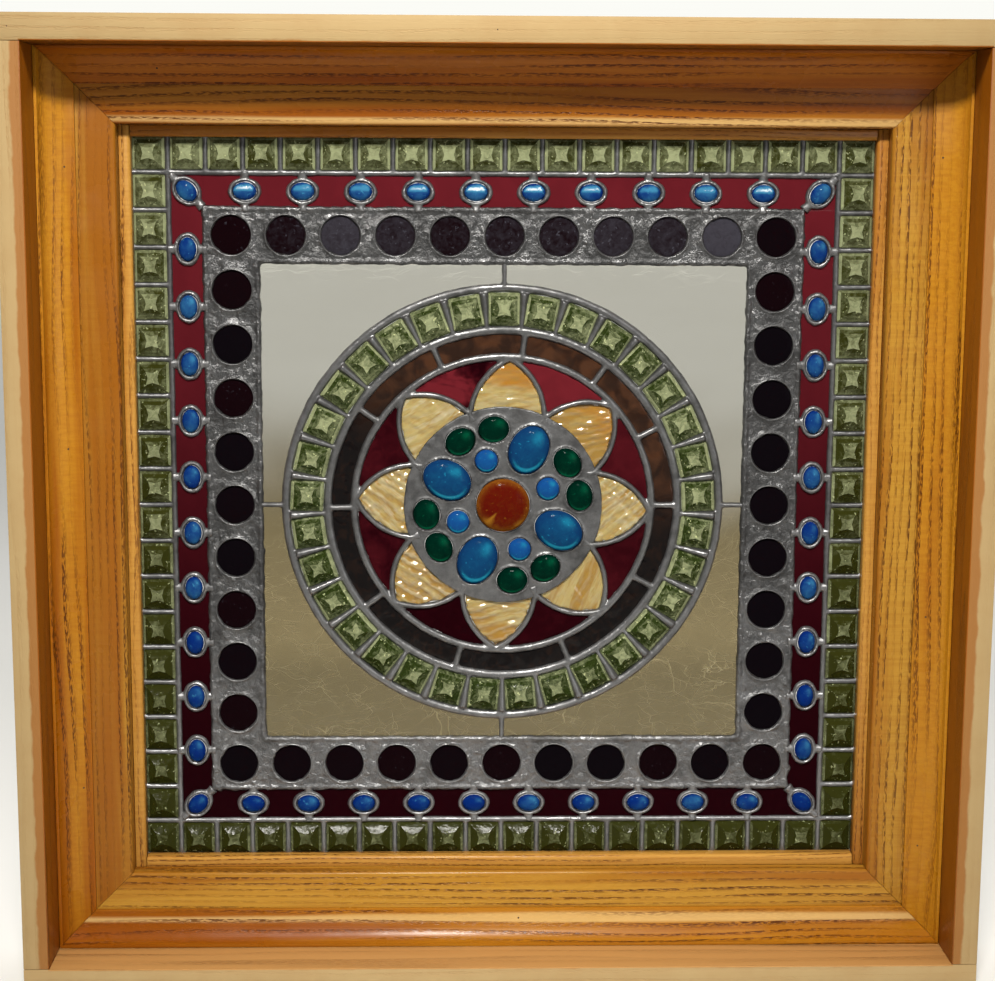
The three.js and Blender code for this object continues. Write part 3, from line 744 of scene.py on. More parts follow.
def to_mesh(bm, name):
    """The mesh of a bmesh, its faces pointing outwards."""
    bmesh.ops.recalc_face_normals(bm, faces=bm.faces)
    mesh = bpy.data.meshes.new(name)
    bm.to_mesh(mesh)
    bm.free()
    return mesh


def finish(bm, name, material, slot, nodes, smooth=0.6):
    """Puts a bmesh in the window as a piece that stands for some of the frame's nodes."""
    mesh = to_mesh(bm, name)
    mesh.transform(PANEL)
    adopt(mesh, name, material, slot, nodes, smooth)


def adopt(mesh, name, material, slot, nodes, smooth=0.6):
    """Makes a finished mesh a piece of the window."""
    piece = placed(name, mesh)
    mesh.materials.clear()
    mesh.materials.append(material)
    mesh.polygons.foreach_set("use_smooth", [True] * len(mesh.polygons))
    mesh.set_sharp_from_angle(angle=smooth)
    mesh.update()
    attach(piece, "root")
    if nodes:
        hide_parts(*nodes)


def run(section, half=None):
    """A moulding's section, as distances from the middle and from the back, run along the bottom.

    It is cut square at half its length, or mitred to the corners of the panel."""
    bm = bmesh.new()
    ends = []
    for side in (-1, 1):
        ends.append([bm.verts.new((side * (half or out - FIT / 2), -out, up)) for out, up in section])
        bm.faces.new(ends[-1])
    for i in range(len(section)):
        bm.faces.new([ends[0][i - 1], ends[0][i], ends[1][i], ends[1][i - 1]])
    bmesh.ops.recalc_face_normals(bm, faces=bm.faces)
    return bm


def quarter_round(centre_out, centre_up, radius, start, end, steps=6):
    turns = [start + (end - start) * i / steps for i in range(steps + 1)]
    return [(centre_out + radius * math.cos(t), centre_up + radius * math.sin(t)) for t in turns]


# Lightness, distance of a pale streak of painted highlight from the middle, and tint of the varnished
# boards; the top's lower lightness and redder tint are painted shade
COVE_SHADE_AND_FINISH = {
    # Painted shade on the top cove from the board above; a painted highlight streak on the bottom cove.
    "top": (0.72, None, (1.22, 0.95, 0.90)),
    "bottom": (0.80, COVE_INNER + 8 * MM, (1.0, 0.92, 0.75)),
    "other": (0.92, None, (1.0, 0.92, 0.75)),
}
RAIL_SHADE_AND_FINISH = {
    # Painted shade and a painted highlight streak on the top rail.
    "top": (0.80, OPENING_HALF + 4 * MM, (1.0, 0.92, 1.3)),
    "other": (1.0, None, (0.89, 0.93, 1.5)),
}
BEAD_FINISHES = {"other": (1.1, None, (0.92, 0.90, 2.2))}
# Growth rings to a metre of the log, and from side to side the step in the log and where it starts
COVE_LOGS, RAIL_LOGS, BEAD_LOGS = (46.0, 1.3, 0.7), (62.0, 1.9, 0.2), (90.0, 2.3, 0.4)
BOX_RINGS = 46.0


def make_boards():
    """The four butt-jointed boards of the box, the level ones over the ends of the upright ones."""
    upright_half = BOX_INNER - FIT
    for index, side in enumerate(SIDES):
        upright = side in UPRIGHT
        half = upright_half if upright else BOX_HALF
        bm = run([(BOX_INNER, 0), (BOX_HALF, 0), (BOX_HALF, BOX_DEPTH), (BOX_INNER, BOX_DEPTH)], half)
        soften(bm, sizes().wood_edge)
        turned(bm, index)
        # The bottom board's inner face gets a lighter stain as painted light from above.
        stain = colours().stain_lit_from_above if side == "bottom" else colours().stain
        wood = box_wood(f"box_wood_{side}", upright, index + 1, stain)
        finish(bm, f"box_{side}", wood, "box_wood", [f"box_board_{side}"])


def four_lengths(kind, name, node, section, logs, finishes, edge, halves=None):
    """A moulding's four lengths, each from its own part of the log; without halves they are mitred."""
    rings, step, first = logs
    for index, side in enumerate(SIDES):
        upright = side in UPRIGHT
        bm = run(section, halves and halves[upright])
        soften(bm, sizes().wood_edge * edge, 0.9)
        turned(bm, index)
        # A side's lightness and tint may hold painted shade, and its pale streak is a painted highlight.
        look = finishes.get(side, finishes["other"])
        material = oak(f"oak_{kind}_{side}", upright, step * index + first, rings, *look)
        finish(bm, f"{name}_{side}", material, "oak", [f"{node}_{side}"])


def cove_hollow():
    """The flat beside the coves' hollow, and the hollow's width and rise."""
    fillet = sizes().cove_fillet
    return fillet, COVE_OUTER - fillet - COVE_INNER, COVE_FRONT - COVE_BACK - fillet


def make_coves():
    """The mitred cove mouldings in the corner between the box and the sash."""
    fillet, hollow_width, hollow_rise = cove_hollow()
    steps = 20
    section = [(COVE_OUTER, COVE_BACK), (COVE_OUTER, COVE_FRONT), (COVE_OUTER - fillet, COVE_FRONT)]
    for i in range(steps):
        turn = QUARTER * (i + 0.5) / steps
        out = COVE_INNER + hollow_width * math.cos(turn)
        section.append((out, COVE_FRONT - hollow_rise * math.sin(turn)))
    section += [(COVE_INNER, COVE_BACK + fillet), (COVE_INNER, COVE_BACK)]
    four_lengths("cove", "cove_moulding", "cove", section, COVE_LOGS, COVE_SHADE_AND_FINISH, edge=1.0)


def make_rails():
    """The mitred rails of the sash, with their lip behind the panel."""
    s = sizes()
    radius = s.rail_arris
    arris = quarter_round(OPENING_HALF + radius, RAIL_FRONT - radius, radius, QUARTER, math.pi)
    section = [(LIP_HALF, 0), (RAIL_OUTER, 0), (RAIL_OUTER, RAIL_FRONT), *arris, (OPENING_HALF, s.lip)]
    section.append((LIP_HALF, s.lip))
    four_lengths("rail", "rail", "sash_rail", section, RAIL_LOGS, RAIL_SHADE_AND_FINISH, edge=0.6)


def make_beads():
    """The stop beads that hold the panel in the sash, the upright ones running through."""
    s = sizes()
    radius = s.bead_round
    nose = quarter_round(SIGHT_HALF + radius, BEAD_FRONT - radius, radius, QUARTER, math.pi)
    section = [(SIGHT_HALF, BEAD_BACK), (BEAD_OUTER, BEAD_BACK), (BEAD_OUTER, BEAD_FRONT), *nose]
    halves = (SIGHT_HALF - FIT, BEAD_OUTER)
    four_lengths("bead", "bead", "stop_bead", section, BEAD_LOGS, BEAD_FINISHES, edge=0.5, halves=halves)


# Nail holes in the coves: quarter turns from the bottom, millimetres along and out from the middle
COVE_NAILS = ((3, -251, 318), (3, -46, 321), (3, 213, 317), (2, 250, 321), (1, 261, 318), (1, -81, 319),
              (1, -261, 320), (0, 13, 318))
# Nail holes along the front edge of the top board
BOARD_NAILS = (-345, -8, 343)
NAIL_HOLE = 1.15 * MM


def make_nail_holes():
    """Nail holes in the coves and in the front edge of the top board."""
    bm = bmesh.new()
    hole = NAIL_HOLE
    _, hollow_width, hollow_rise = cove_hollow()
    for quarter, along, out in COVE_NAILS:
        slope = math.acos((out * MM - COVE_INNER) / hollow_width)
        up = COVE_FRONT - hollow_rise * math.sin(slope)
        made = bmesh.ops.create_uvsphere(bm, u_segments=8, v_segments=5, radius=hole)
        bmesh.ops.translate(bm, verts=made["verts"], vec=(along * MM, -out * MM, up - hole * 0.72))
        turned(bm, quarter, made["verts"])
    for along in BOARD_NAILS:
        made = bmesh.ops.create_uvsphere(bm, u_segments=8, v_segments=5, radius=hole)
        spot = (along * MM, (BOX_INNER + BOX_HALF) / 2, BOX_DEPTH - hole * 0.85)
        bmesh.ops.translate(bm, verts=made["verts"], vec=spot)
    finish(bm, "nail_holes", filler(), "oak", [])


# Leads and solder

# How far a cutter runs past what it cuts
PAST = 5 * MM
LUMPS = 420
LUMP_SEED = 11


def lead_middle():
    """The height of the middle of a lead, which stands equally out of both faces of the panel."""
    return (GLASS_BACK + sizes().panel_front) / 2


def bead(bm, start, end, width, wide_end=None, crown=None):
    """A round-backed lead between two points of the panel, through the thickness of the glass."""
    a, b = Vector(start), Vector(end)
    span = b - a
    crown = crown or sizes().lead_crown
    made = bmesh.ops.create_cone(
        bm, cap_ends=True, segments=10, radius1=0.5, radius2=0.5 * (wide_end or width) / width, depth=1
    )
    place = at((a + b) / 2, math.atan2(span.y, span.x), lead_middle())
    shape = Matrix.Diagonal((span.length, width, 2 * crown, 1))
    lying = Matrix.Rotation(QUARTER, 4, "Y")
    bmesh.ops.transform(bm, matrix=place @ shape @ lying, verts=made["verts"])


def hoop(bm, radius, width, centre=(0, 0), start=0.0, sweep=math.tau, steps=64, crown=None):
    """A round-backed lead bent to an arc about a point of the panel."""
    crown = crown or sizes().lead_crown
    made = bmesh.ops.create_circle(bm, segments=10, radius=0.5)
    place = at(centre, start, lead_middle()) @ Matrix.Translation((radius, 0, 0))
    shape = Matrix.Diagonal((width, 1, 2 * crown, 1))
    standing = Matrix.Rotation(QUARTER, 4, "X")
    bmesh.ops.transform(bm, matrix=place @ shape @ standing, verts=made["verts"])
    ring = made["verts"] + [e for e in bm.edges if all(v in made["verts"] for v in e.verts)]
    full = abs(sweep - math.tau) < TINY
    bmesh.ops.spin(
        bm, geom=ring, cent=(*centre, 0), axis=(0, 0, 1), angle=sweep, steps=steps, use_merge=full,
        dvec=(0, 0, 0),
    )


def rim(bm, spot, long, wide, turn, width, steps=28, swell=1.12):
    """A round-backed lead bent round an oval jewel of a length and width."""
    across = wide + width
    with moved_by(bm, at(spot, turn) @ Matrix.Diagonal(((long + width) / across, 1, 1, 1))):
        hoop(bm, across / 2, width, steps=steps, crown=sizes().lead_crown * swell)


def slab(bm, low, high, back, front):
    """A flat plate between two corners of the panel."""
    size = (high[0] - low[0], high[1] - low[1], front - back)
    middle = ((high[0] + low[0]) / 2, (high[1] + low[1]) / 2, (front + back) / 2)
    made = bmesh.ops.create_cube(bm, size=1)
    bmesh.ops.scale(bm, vec=size, verts=made["verts"])
    bmesh.ops.translate(bm, vec=middle, verts=made["verts"])


def oval(bm, centre, long, wide, turn, back, front, segments=32):
    """An upright oval drum, its length along a direction of the panel."""
    made = bmesh.ops.create_cone(
        bm, cap_ends=True, segments=segments, radius1=0.5, radius2=0.5, depth=front - back
    )
    matrix = at(centre, turn, (front + back) / 2) @ Matrix.Diagonal((long, wide, 1, 1))
    bmesh.ops.transform(bm, matrix=matrix, verts=made["verts"])


def clock(radius, turn):
    """A point of the panel at a clock angle in radians from the top."""
    return Vector((radius * math.sin(turn), radius * math.cos(turn)))


def border(number, half):
    """Each place along the four sides of a border, with its quarter turn, and whether it is a corner."""
    step = 2 * half / (number - 1)
    for quarter in range(4):
        for i in range(number - 1):
            spot = Matrix.Rotation(quarter * QUARTER, 2) @ Vector((-half + step * i, -half))
            yield spot, quarter, i == 0


def oval_places():
    """Each border oval's place and the direction of its length; the corner ones lie across the corner."""
    s = sizes()
    for spot, quarter, corner in border(s.ovals_per_side, s.oval_row):
        yield spot, quarter * QUARTER + (QUARTER / 2 if corner else 0)


def boss_places():
    """Each jewel of the boss: its kind, place, length, width, rise and direction."""
    s = sizes()
    yield "centre", Vector((0, 0)), s.centre, s.centre, s.centre_rise, 0.0
    for i in range(4):
        turn = s.boss_turn + i * QUARTER
        spot = clock(s.big_oval_place, turn)
        yield "big", spot, s.big_oval_length, s.big_oval_width, s.big_oval_rise, QUARTER - turn
        turn += QUARTER / 2
        spot = clock(s.small_place, turn)
        yield "small", spot, s.small_round, s.small_round, s.small_rise, QUARTER - turn
        for spread in (-s.emerald_spread, s.emerald_spread):
            spot = clock(s.emerald_place, turn + spread)
            yield "emerald", spot, s.emerald_length, s.emerald_width, s.emerald_rise, -turn - spread


def modified(mesh, name, cutter=None, voxel=None, smooth=0, keep=1.0):
    """A mesh after cutting, fusing, smoothing and thinning it with modifiers."""
    rough = placed(name + "_rough", mesh)
    spare = [rough]
    if cutter:
        tool = placed(name + "_cutter", to_mesh(cutter, name + "_cutter"))
        spare.append(tool)
        cut = rough.modifiers.new("cut", "BOOLEAN")
        cut.operation = "DIFFERENCE"
        cut.solver = "EXACT"
        cut.use_self = True
        cut.object = tool
    if voxel:
        fuse = rough.modifiers.new("fuse", "REMESH")
        fuse.mode = "VOXEL"
        fuse.voxel_size = voxel
    if smooth:
        even = rough.modifiers.new("even", "SMOOTH")
        even.factor = 0.5
        even.iterations = smooth
    if keep < 1:
        thin = rough.modifiers.new("thin", "DECIMATE")
        thin.ratio = keep
    bpy.context.view_layer.update()
    result = bpy.data.meshes.new_from_object(rough.evaluated_get(bpy.context.evaluated_depsgraph_get()))
    result.name = name
    for old in spare:
        bpy.data.objects.remove(old)
    return result


def ruffle(mesh, layers):
    """Moves a mesh along its normals by layers of noise, each with a size, a depth and a stretch."""
    total = len(mesh.vertices)
    points = np.empty(total * 3, np.float32)
    mesh.vertices.foreach_get("co", points)
    points = points.reshape(-1, 3)
    normals = np.empty(total * 3, np.float32)
    mesh.vertices.foreach_get("normal", normals)
    normals = normals.reshape(-1, 3)
    shift = np.zeros(total, np.float32)
    for size, depth, stretch in layers:
        places = points if stretch is None else points @ np.array(stretch, np.float32).T
        shift += depth * np.array([noise.noise(Vector(p) / size) for p in places.tolist()], np.float32)
    points += normals * shift[:, None]
    mesh.vertices.foreach_set("co", points.ravel())
    mesh.update()


def solder_piece(bm, name, voxel, smooth, layers, material, keep=0.5):
    """Leads and solder fused to one skin, its face uneven as solder runs."""
    mesh = modified(to_mesh(bm, name), name, None, voxel, smooth)
    ruffle(mesh, layers)
    mesh = modified(mesh, name, keep=keep)
    mesh.transform(PANEL)
    adopt(mesh, name, material, "lead", ["lead_web"], math.pi)


def make_border_leads():
    """The leads round the square jewels, and the collars of the blue ovals."""
    s = sizes()
    pitch = 2 * s.jewel_row / (s.jewels_per_side - 1)
    outer = s.jewel_row + pitch / 2
    inner = s.jewel_row - pitch / 2
    bm = bmesh.new()
    past = outer + s.lead * 0.8
    for _ in each_side(bm):
        bead(bm, (-inner - s.lead / 2, -inner), (inner + s.lead / 2, -inner), s.lead)
        slab(bm, (-past, -past), (past, -outer + s.lead / 3), GLASS_BACK, s.panel_front)
    for spot, quarter, _ in border(s.jewels_per_side, s.jewel_row):
        along = (Matrix.Rotation(-quarter * QUARTER, 2) @ spot).x + pitch / 2
        with on_side(bm, quarter):
            bead(bm, (along, -outer), (along, -inner), s.lead * 0.94)
    layers = [(0.012, 0.35 * MM, None), (0.004, 0.16 * MM, None)]
    dull = solder("lead_border", 0.15, 0.0008)
    solder_piece(bm, "jewel_border_leads", 1.05 * MM, 2, layers, dull)

    bm = bmesh.new()
    for spot, turn in oval_places():
        rim(bm, spot, s.oval_length, s.oval_width, turn, s.oval_collar)
        corner = abs(abs(spot.x) - abs(spot.y)) < TINY
        across = spot.normalized() if corner else Matrix.Rotation(turn, 2) @ Vector((0, 1))
        start = (s.oval_length if corner else s.oval_width) / 2 + s.oval_collar * 0.6
        for side in (-1, 1):
            foot = spot + across * side * start
            tip = foot + across * side * s.oval_collar * 1.8
            bead(bm, foot, tip, s.oval_collar * 2.1, s.oval_collar * 2.7)
    layers = [(0.006, 0.5 * MM, None), (0.0025, 0.2 * MM, None)]
    worn = solder("lead_collar", -0.15, 0.0007, 0.44)
    solder_piece(bm, "oval_collars", 0.8 * MM, 1, layers, worn)


def make_rondel_band():
    """The wide band of lumpy solder that the rondels are set in."""
    s = sizes()
    dice = random.Random(LUMP_SEED)
    inner = s.rondel_row - s.rondel_band / 2 - s.lead / 2
    outer = s.rondel_row + s.rondel_band / 2 + s.lead / 2
    front = s.panel_front + 0.3 * MM
    back = 2 * lead_middle() - front
    band = bmesh.new()
    for _ in each_side(band):
        slab(band, (-outer, -outer), (inner - FIT, -inner), back, front)
    cutter = bmesh.new()
    spots = [spot for spot, _, _ in border(s.rondels_per_side, s.rondel_row)]
    for spot in spots:
        oval(cutter, spot, s.rondel, s.rondel, 0, back - PAST, front + PAST, 40)
    bm = bmesh.new()
    bm.from_mesh(modified(to_mesh(band, "band"), "band", cutter))
    for spot in spots:
        hoop(bm, s.rondel / 2 + 1.1 * MM, 2.8 * MM, centre=spot, steps=32, crown=s.lead_crown * 1.06)
    for edge in (inner + 2 * MM, outer - 2 * MM):
        for _ in each_side(bm):
            bead(bm, (-edge, -edge), (edge, -edge), s.lead, crown=s.lead_crown * 1.05)
    for _ in range(LUMPS):
        size = dice.uniform(4, 10) * MM
        spot = Vector((dice.uniform(-outer, outer), -dice.uniform(inner + 2 * MM, outer - 2 * MM)))
        quarter = dice.randrange(4)
        place = Matrix.Rotation(quarter * QUARTER, 2) @ spot
        if min((place - rondel).length for rondel in spots) < s.rondel / 2 + size * 0.42:
            continue
        made = bmesh.ops.create_icosphere(bm, subdivisions=1, radius=0.5)
        height = 2 * s.lead_crown + dice.uniform(-0.4, 1.6) * MM
        shape = Matrix.Diagonal((size, size * dice.uniform(0.5, 1), height, 1))
        facing = at(place, dice.uniform(0, math.pi), lead_middle())
        bmesh.ops.transform(bm, matrix=facing @ shape, verts=made["verts"])
    layers = [(0.009, 0.8 * MM, None), (0.0045, 0.5 * MM, None), (0.0022, 0.22 * MM, None)]
    lumpy = solder("solder_band", 0.42, 0.0022, 0.36)
    solder_piece(bm, "rondel_band", 1.0 * MM, 1, layers, lumpy, 0.45)
    bm = bmesh.new()
    for spot in spots:
        rim(bm, spot, s.rondel, s.rondel, 0, 1.7 * MM, 40, 1.1)
    finish(bm, "rondel_rims", solder("solder_rim", 0.1, 0.0006), "lead", ["lead_web"], 2.0)


# Joints of the dark ring, as clock angles in degrees
DARK_RING_JOINTS = (7, 36, 63, 90, 119, 157, 196, 233, 269, 304, 336)
# How far a petal's leads run on at the boss and past its tip, as angles of their arcs
PETAL_FOOT, PETAL_TIP = 0.12, 0.14


def make_ring_leads():
    """The leads of the round part: rings, bars, petals and the four short cames."""
    s = sizes()
    dark_inner = s.flower + s.ring_lead
    dark_outer = dark_inner + s.dark_ring
    half_jewel = s.jewel / 2
    bm = bmesh.new()
    inner_edge = s.jewel_ring - half_jewel
    outer_edge = s.jewel_ring + half_jewel
    hoop(bm, (s.flower + dark_inner) / 2, s.ring_lead, steps=96)
    hoop(bm, (dark_outer + inner_edge) / 2 - 0.4 * MM, inner_edge - dark_outer - 0.6 * MM, steps=96)
    hoop(bm, (s.ring + outer_edge) / 2 + 0.6 * MM, s.ring - outer_edge - 0.8 * MM, steps=128)
    step = math.tau / s.ring_jewels
    gap_in = inner_edge * step - s.jewel
    gap_out = outer_edge * step - s.jewel
    for i in range(s.ring_jewels):
        turn = step * (i + 0.5)
        ends = clock(inner_edge - MM, turn), clock(outer_edge + MM, turn)
        bead(bm, *ends, gap_in + 1.0 * MM, gap_out + 0.2 * MM)
    for degrees in DARK_RING_JOINTS:
        turn = math.radians(degrees)
        bead(bm, clock(dark_inner - MM, turn), clock(dark_outer + MM, turn), s.lead)
    pane_edge = s.rondel_row - s.rondel_band / 2
    for i in range(4):
        turn = i * QUARTER
        bead(bm, clock(s.ring - MM, turn), clock(pane_edge + MM, turn), s.lead * 0.8)

    base = s.boss * math.cos(math.pi / s.petals)
    foot = s.boss * math.sin(math.pi / s.petals) - s.lead / 2
    height = s.flower - 1.2 * MM - base
    radius = (height ** 2 + foot ** 2) / (2 * foot)
    offset = radius - foot
    centreline = radius + s.lead / 2
    apex = math.acos(offset / centreline)
    for i in range(s.petals):
        turn = s.flower_turn + math.tau * i / s.petals
        with moved_by(bm, Matrix.Rotation(-turn, 4, "Z")):
            for side, start in ((-1, 0.0), (1, math.pi)):
                centre = (side * offset, base)
                sweep = -side * (apex + PETAL_TIP)
                hoop(bm, centreline, s.petal_lead, centre, start + PETAL_FOOT * side, sweep, 14)
    close_holes(bm)
    layers = [(0.011, 0.32 * MM, None), (0.004, 0.15 * MM, None)]
    solder_piece(bm, "ring_leads", 0.95 * MM, 2, layers, solder("lead_ring", 0.05, 0.0006))


def make_boss_plate():
    """The smooth solder plate of the boss, pierced for its jewels."""
    s = sizes()
    front = s.panel_front + 0.5 * MM
    back = 2 * lead_middle() - front
    bm = bmesh.new()
    oval(bm, (0, 0), 2 * s.boss + s.lead, 2 * s.boss + s.lead, 0, back, front, 96)
    cutter = bmesh.new()
    for _, spot, long, wide, _, turn in boss_places():
        oval(cutter, spot, long, wide, turn, back - PAST, front + PAST, 40)
    mesh = modified(to_mesh(bm, "plate"), "plate", cutter)
    bm = bmesh.new()
    bm.from_mesh(mesh)
    for _, spot, long, wide, _, turn in boss_places():
        rim(bm, spot, long, wide, turn, 1.5 * MM, 40, 1.2)
    layers = [(0.016, 0.45 * MM, None), (0.006, 0.18 * MM, None)]
    solder_piece(bm, "boss_plate", 0.9 * MM, 2, layers, solder("solder_boss", 0.18, 0.0005, 0.46))


# Glass

def set_tones(bm, tones):
    """Writes a tone for each corner of each face, from the deep colour up to the pale one; the tones
    carry painted light, shade and sheen.
    """
    layer = bm.loops.layers.float.new("tone")
    for face in bm.faces:
        for loop in face.loops:
            loop[layer] = tones(face, loop)


def square_jewel():
    """One pressed square jewel on its girdle, its concave four-pointed table over hollowed facets."""
    s = sizes()
    half = s.jewel / 2
    table = s.jewel_table / 2
    front = s.panel_front
    rise = s.jewel_rise
    lap = 1.0 * MM
    rings = (
        (GLASS_BACK - 1.2 * MM, half * 0.55, half * 0.55),
        (GLASS_BACK, half + lap, half + lap),
        (GLASS_FRONT, half + lap, half + lap),
        (front + 0.2 * MM, half - 0.2 * MM, half - 0.2 * MM),
        (front + rise * 0.28, half - 1.6 * MM, half - 1.6 * MM),
        (front + rise * 0.62, half * 0.62, half * 0.62),
        (front + rise, table * 0.9, table * 1.25),
    )
    bm = bmesh.new()
    loop = bmesh.ops.create_circle(bm, segments=8, radius=1)["verts"]
    for index, (height, middle, corner) in enumerate(rings):
        if index:
            edges = [e for e in bm.edges if all(v in loop for v in e.verts)]
            made = bmesh.ops.extrude_edge_only(bm, edges=edges)["geom"]
            loop = [v for v in made if isinstance(v, bmesh.types.BMVert)]
        for v in loop:
            turn = math.atan2(v.co.y, v.co.x)
            across = max(abs(math.cos(turn)), abs(math.sin(turn)))
            size = (middle if across > 0.9 else corner) / across
            v.co = (size * math.cos(turn), size * math.sin(turn), height)
    close_holes(bm)
    return bm


def copies(source, places):
    """A bmesh that holds a copy of another at each place."""
    mesh = to_mesh(source, "one")
    bm = bmesh.new()
    for matrix in places:
        with moved_by(bm, matrix):
            bm.from_mesh(mesh)
    bpy.data.meshes.remove(mesh)
    return bm


def facet_light_and_shade(face, loop):
    """Painted light and shade of the facets: a lit table, shaded facets, a lit band under the upper edge,
    and a pale rim by the lead, paler at the sides.
    """
    n = face.normal
    height = face.calc_center_median().z
    rise = (height - sizes().panel_front) / sizes().jewel_rise
    if n.z > 0.97:
        return 0.70
    if rise < 0.2:
        return 0.78 if abs(n.x) > abs(n.y) else 0.42
    if rise < 0.5:
        return 0.26 - 0.12 * n.y + 0.10 * n.x
    return 0.34 + 0.22 * n.y - 0.12 * abs(n.x)


def make_square_jewels():
    """The square jewels of the border and of the ring."""
    s = sizes()
    c = colours()
    places = [at(spot) for spot, _, _ in border(s.jewels_per_side, s.jewel_row)]
    bm = copies(square_jewel(), places)
    set_tones(bm, facet_light_and_shade)
    # Painted glints in the square jewels' glass.
    painted_glint = c.green_painted_glint
    glass = jewel_glass("green_jewel", c.green_deep, c.green_light, 0.3, 0.9, 0.2, 0.14, 0.46, 0.8, painted_glint)
    finish(bm, "border_jewels", glass, "green_jewel_glass", ["lead_web"], 0.2)
    places = []
    for i in range(s.ring_jewels):
        turn = math.tau * i / s.ring_jewels
        places.append(at(clock(s.jewel_ring, turn), -turn))
    bm = copies(square_jewel(), places)
    set_tones(bm, facet_light_and_shade)
    glass = jewel_glass(
        "green_ring_jewel", c.ring_green, c.green_light, 0.3, 1.2, 0.2, 0.12, 0.20, 0.7, painted_glint
    )
    finish(bm, "ring_jewels", glass, "green_jewel_glass", ["lead_web"], 0.2)


def cabochon(bm, spot, long, wide, rise, turn, rounds=24, rings=12):
    """A domed oval jewel, its girdle in the leads."""
    waist = sizes().panel_front
    made = bmesh.ops.create_uvsphere(bm, u_segments=rounds, v_segments=rings, radius=0.5)
    shape = Matrix.Diagonal((long - 0.2 * MM, wide - 0.2 * MM, 2, 1))
    bmesh.ops.transform(bm, matrix=shape, verts=made["verts"])
    for v in made["verts"]:
        share = v.co.z
        v.co.z = waist + (rise * share ** 0.8 if share > 0 else (waist - GLASS_BACK) * share)
    bmesh.ops.transform(bm, matrix=at(spot, turn), verts=made["verts"])
    return made["verts"]


def dome_tones(bm, domes, tone_at=None):
    """Tones of domed jewels, painted light and shade: a light crescent low on each, and a darker upper
    part.
    """
    layer = bm.loops.layers.float.new("tone")
    for verts, spot, long, wide, turn in domes:
        back = Matrix.Rotation(-turn, 2)
        for v in verts:
            offset = back @ (Vector(v.co.xy) - spot)
            offset = Vector((2 * offset.x / long, 2 * offset.y / wide))
            edge = min(offset.length, 1.0)
            seen = Matrix.Rotation(turn, 2) @ offset
            tone = (tone_at or crescent)(seen, edge, spot)
            for loop in v.link_loops:
                loop[layer] = tone


def crescent(seen, edge, spot):
    """Painted light and shade: a dark outline of painted shade, a bright crescent of painted glow low
    down and a paler patch of painted reflection high on the right.
    """
    low = max(0.0, -seen.y / max(edge, 0.01))
    rim_glow = math.exp(-((edge - 0.82) / 0.07) ** 2)
    reflection_patch = math.exp(-((seen - Vector((0.40, 0.52))).length / 0.30) ** 2)
    return 0.15 + 1.25 * low ** 2 * rim_glow + 0.40 * reflection_patch - 0.25 * edge ** 6


def window_glint(seen, edge, spot):
    """The border's ovals: painted light as on the other domes, and on the top row a painted reflection, a
    pale bar across their upper half.
    """
    row = 0.9 * sizes().oval_row
    tone = 0.15 + crescent(seen, edge, spot)
    if spot.y > row > abs(spot.x) and edge < 0.85:
        tone += (0.4 + 1.4 * abs(math.sin(spot.x * 61))) * math.exp(-((seen.y - 0.38) / 0.24) ** 2)
    return tone


# Patches of painted amber glow in the centre jewel: middle and half width in degrees, start and lightness
AMBER_WEDGES = ((226, 16, 0.25, 0.85), (248, 8, 0.55, 0.5), (312, 24, 0.66, 0.8), (185, 20, 0.72, 0.45))


def amber_wedges(seen, edge, spot):
    """The centre jewel's painted glow: amber in a wedge low on the left, low on the right and round the
    rim, and lighter low down.
    """
    turn = math.degrees(math.atan2(seen.y, seen.x)) % 360
    tone = 0.06 + 0.14 * max(0.0, -seen.y) * edge + 0.25 * math.exp(-((edge - 0.86) / 0.06) ** 2)
    if edge > 0.93:
        return 0.40
    for middle, width, start, light in AMBER_WEDGES:
        away = abs(turn - middle) / (width * edge + 1)
        if edge > start and away < 1:
            tone = max(tone, light * (1 - away ** 2) * min(1.0, (edge - start) * 4))
    return tone


def make_border_ovals():
    """The blue ovals of the border, the upper ones lighter by a painted reflection."""
    s = sizes()
    c = colours()
    bm = bmesh.new()
    domes = []
    for spot, turn in oval_places():
        verts = cabochon(bm, spot, s.oval_length, s.oval_width, s.oval_rise, turn, 16, 8)
        domes.append((verts, spot, s.oval_length, s.oval_width, turn))
    dome_tones(bm, domes, window_glint)
    glass = jewel_glass("blue_oval", c.border_blue, c.border_blue_light, 0.15, 0.4, 0.12, 0.05, 0.15, 0.9)
    finish(bm, "border_ovals", glass, "blue_glass", ["lead_web"], 1.2)


def make_ruby_strips():
    """The ruby strips between the ovals' collars."""
    s = sizes()
    bm = bmesh.new()
    half = (s.oval_band - s.lead) / 2 + 1.2 * MM
    front = s.panel_front - s.ruby_sunk
    reach_out = s.oval_row + half
    end = (s.oval_row - half - 0.04 * MM, -s.oval_row + half)
    for _ in each_side(bm):
        slab(bm, (-reach_out, -reach_out), end, GLASS_BACK, front)
    cutter = bmesh.new()
    for spot, turn in oval_places():
        lap = s.oval_collar
        oval(cutter, spot, s.oval_length + lap, s.oval_width + lap, turn, GLASS_BACK - MM, front + MM, 28)
    mesh = modified(to_mesh(bm, "ruby_strips"), "ruby_strips", cutter)
    mesh.transform(PANEL)
    adopt(mesh, "ruby_strips", ruby_glass("ruby_border", 0.9, 0.12), "ruby_glass", ["lead_web"], 0.5)


RONDEL_SEED = 5


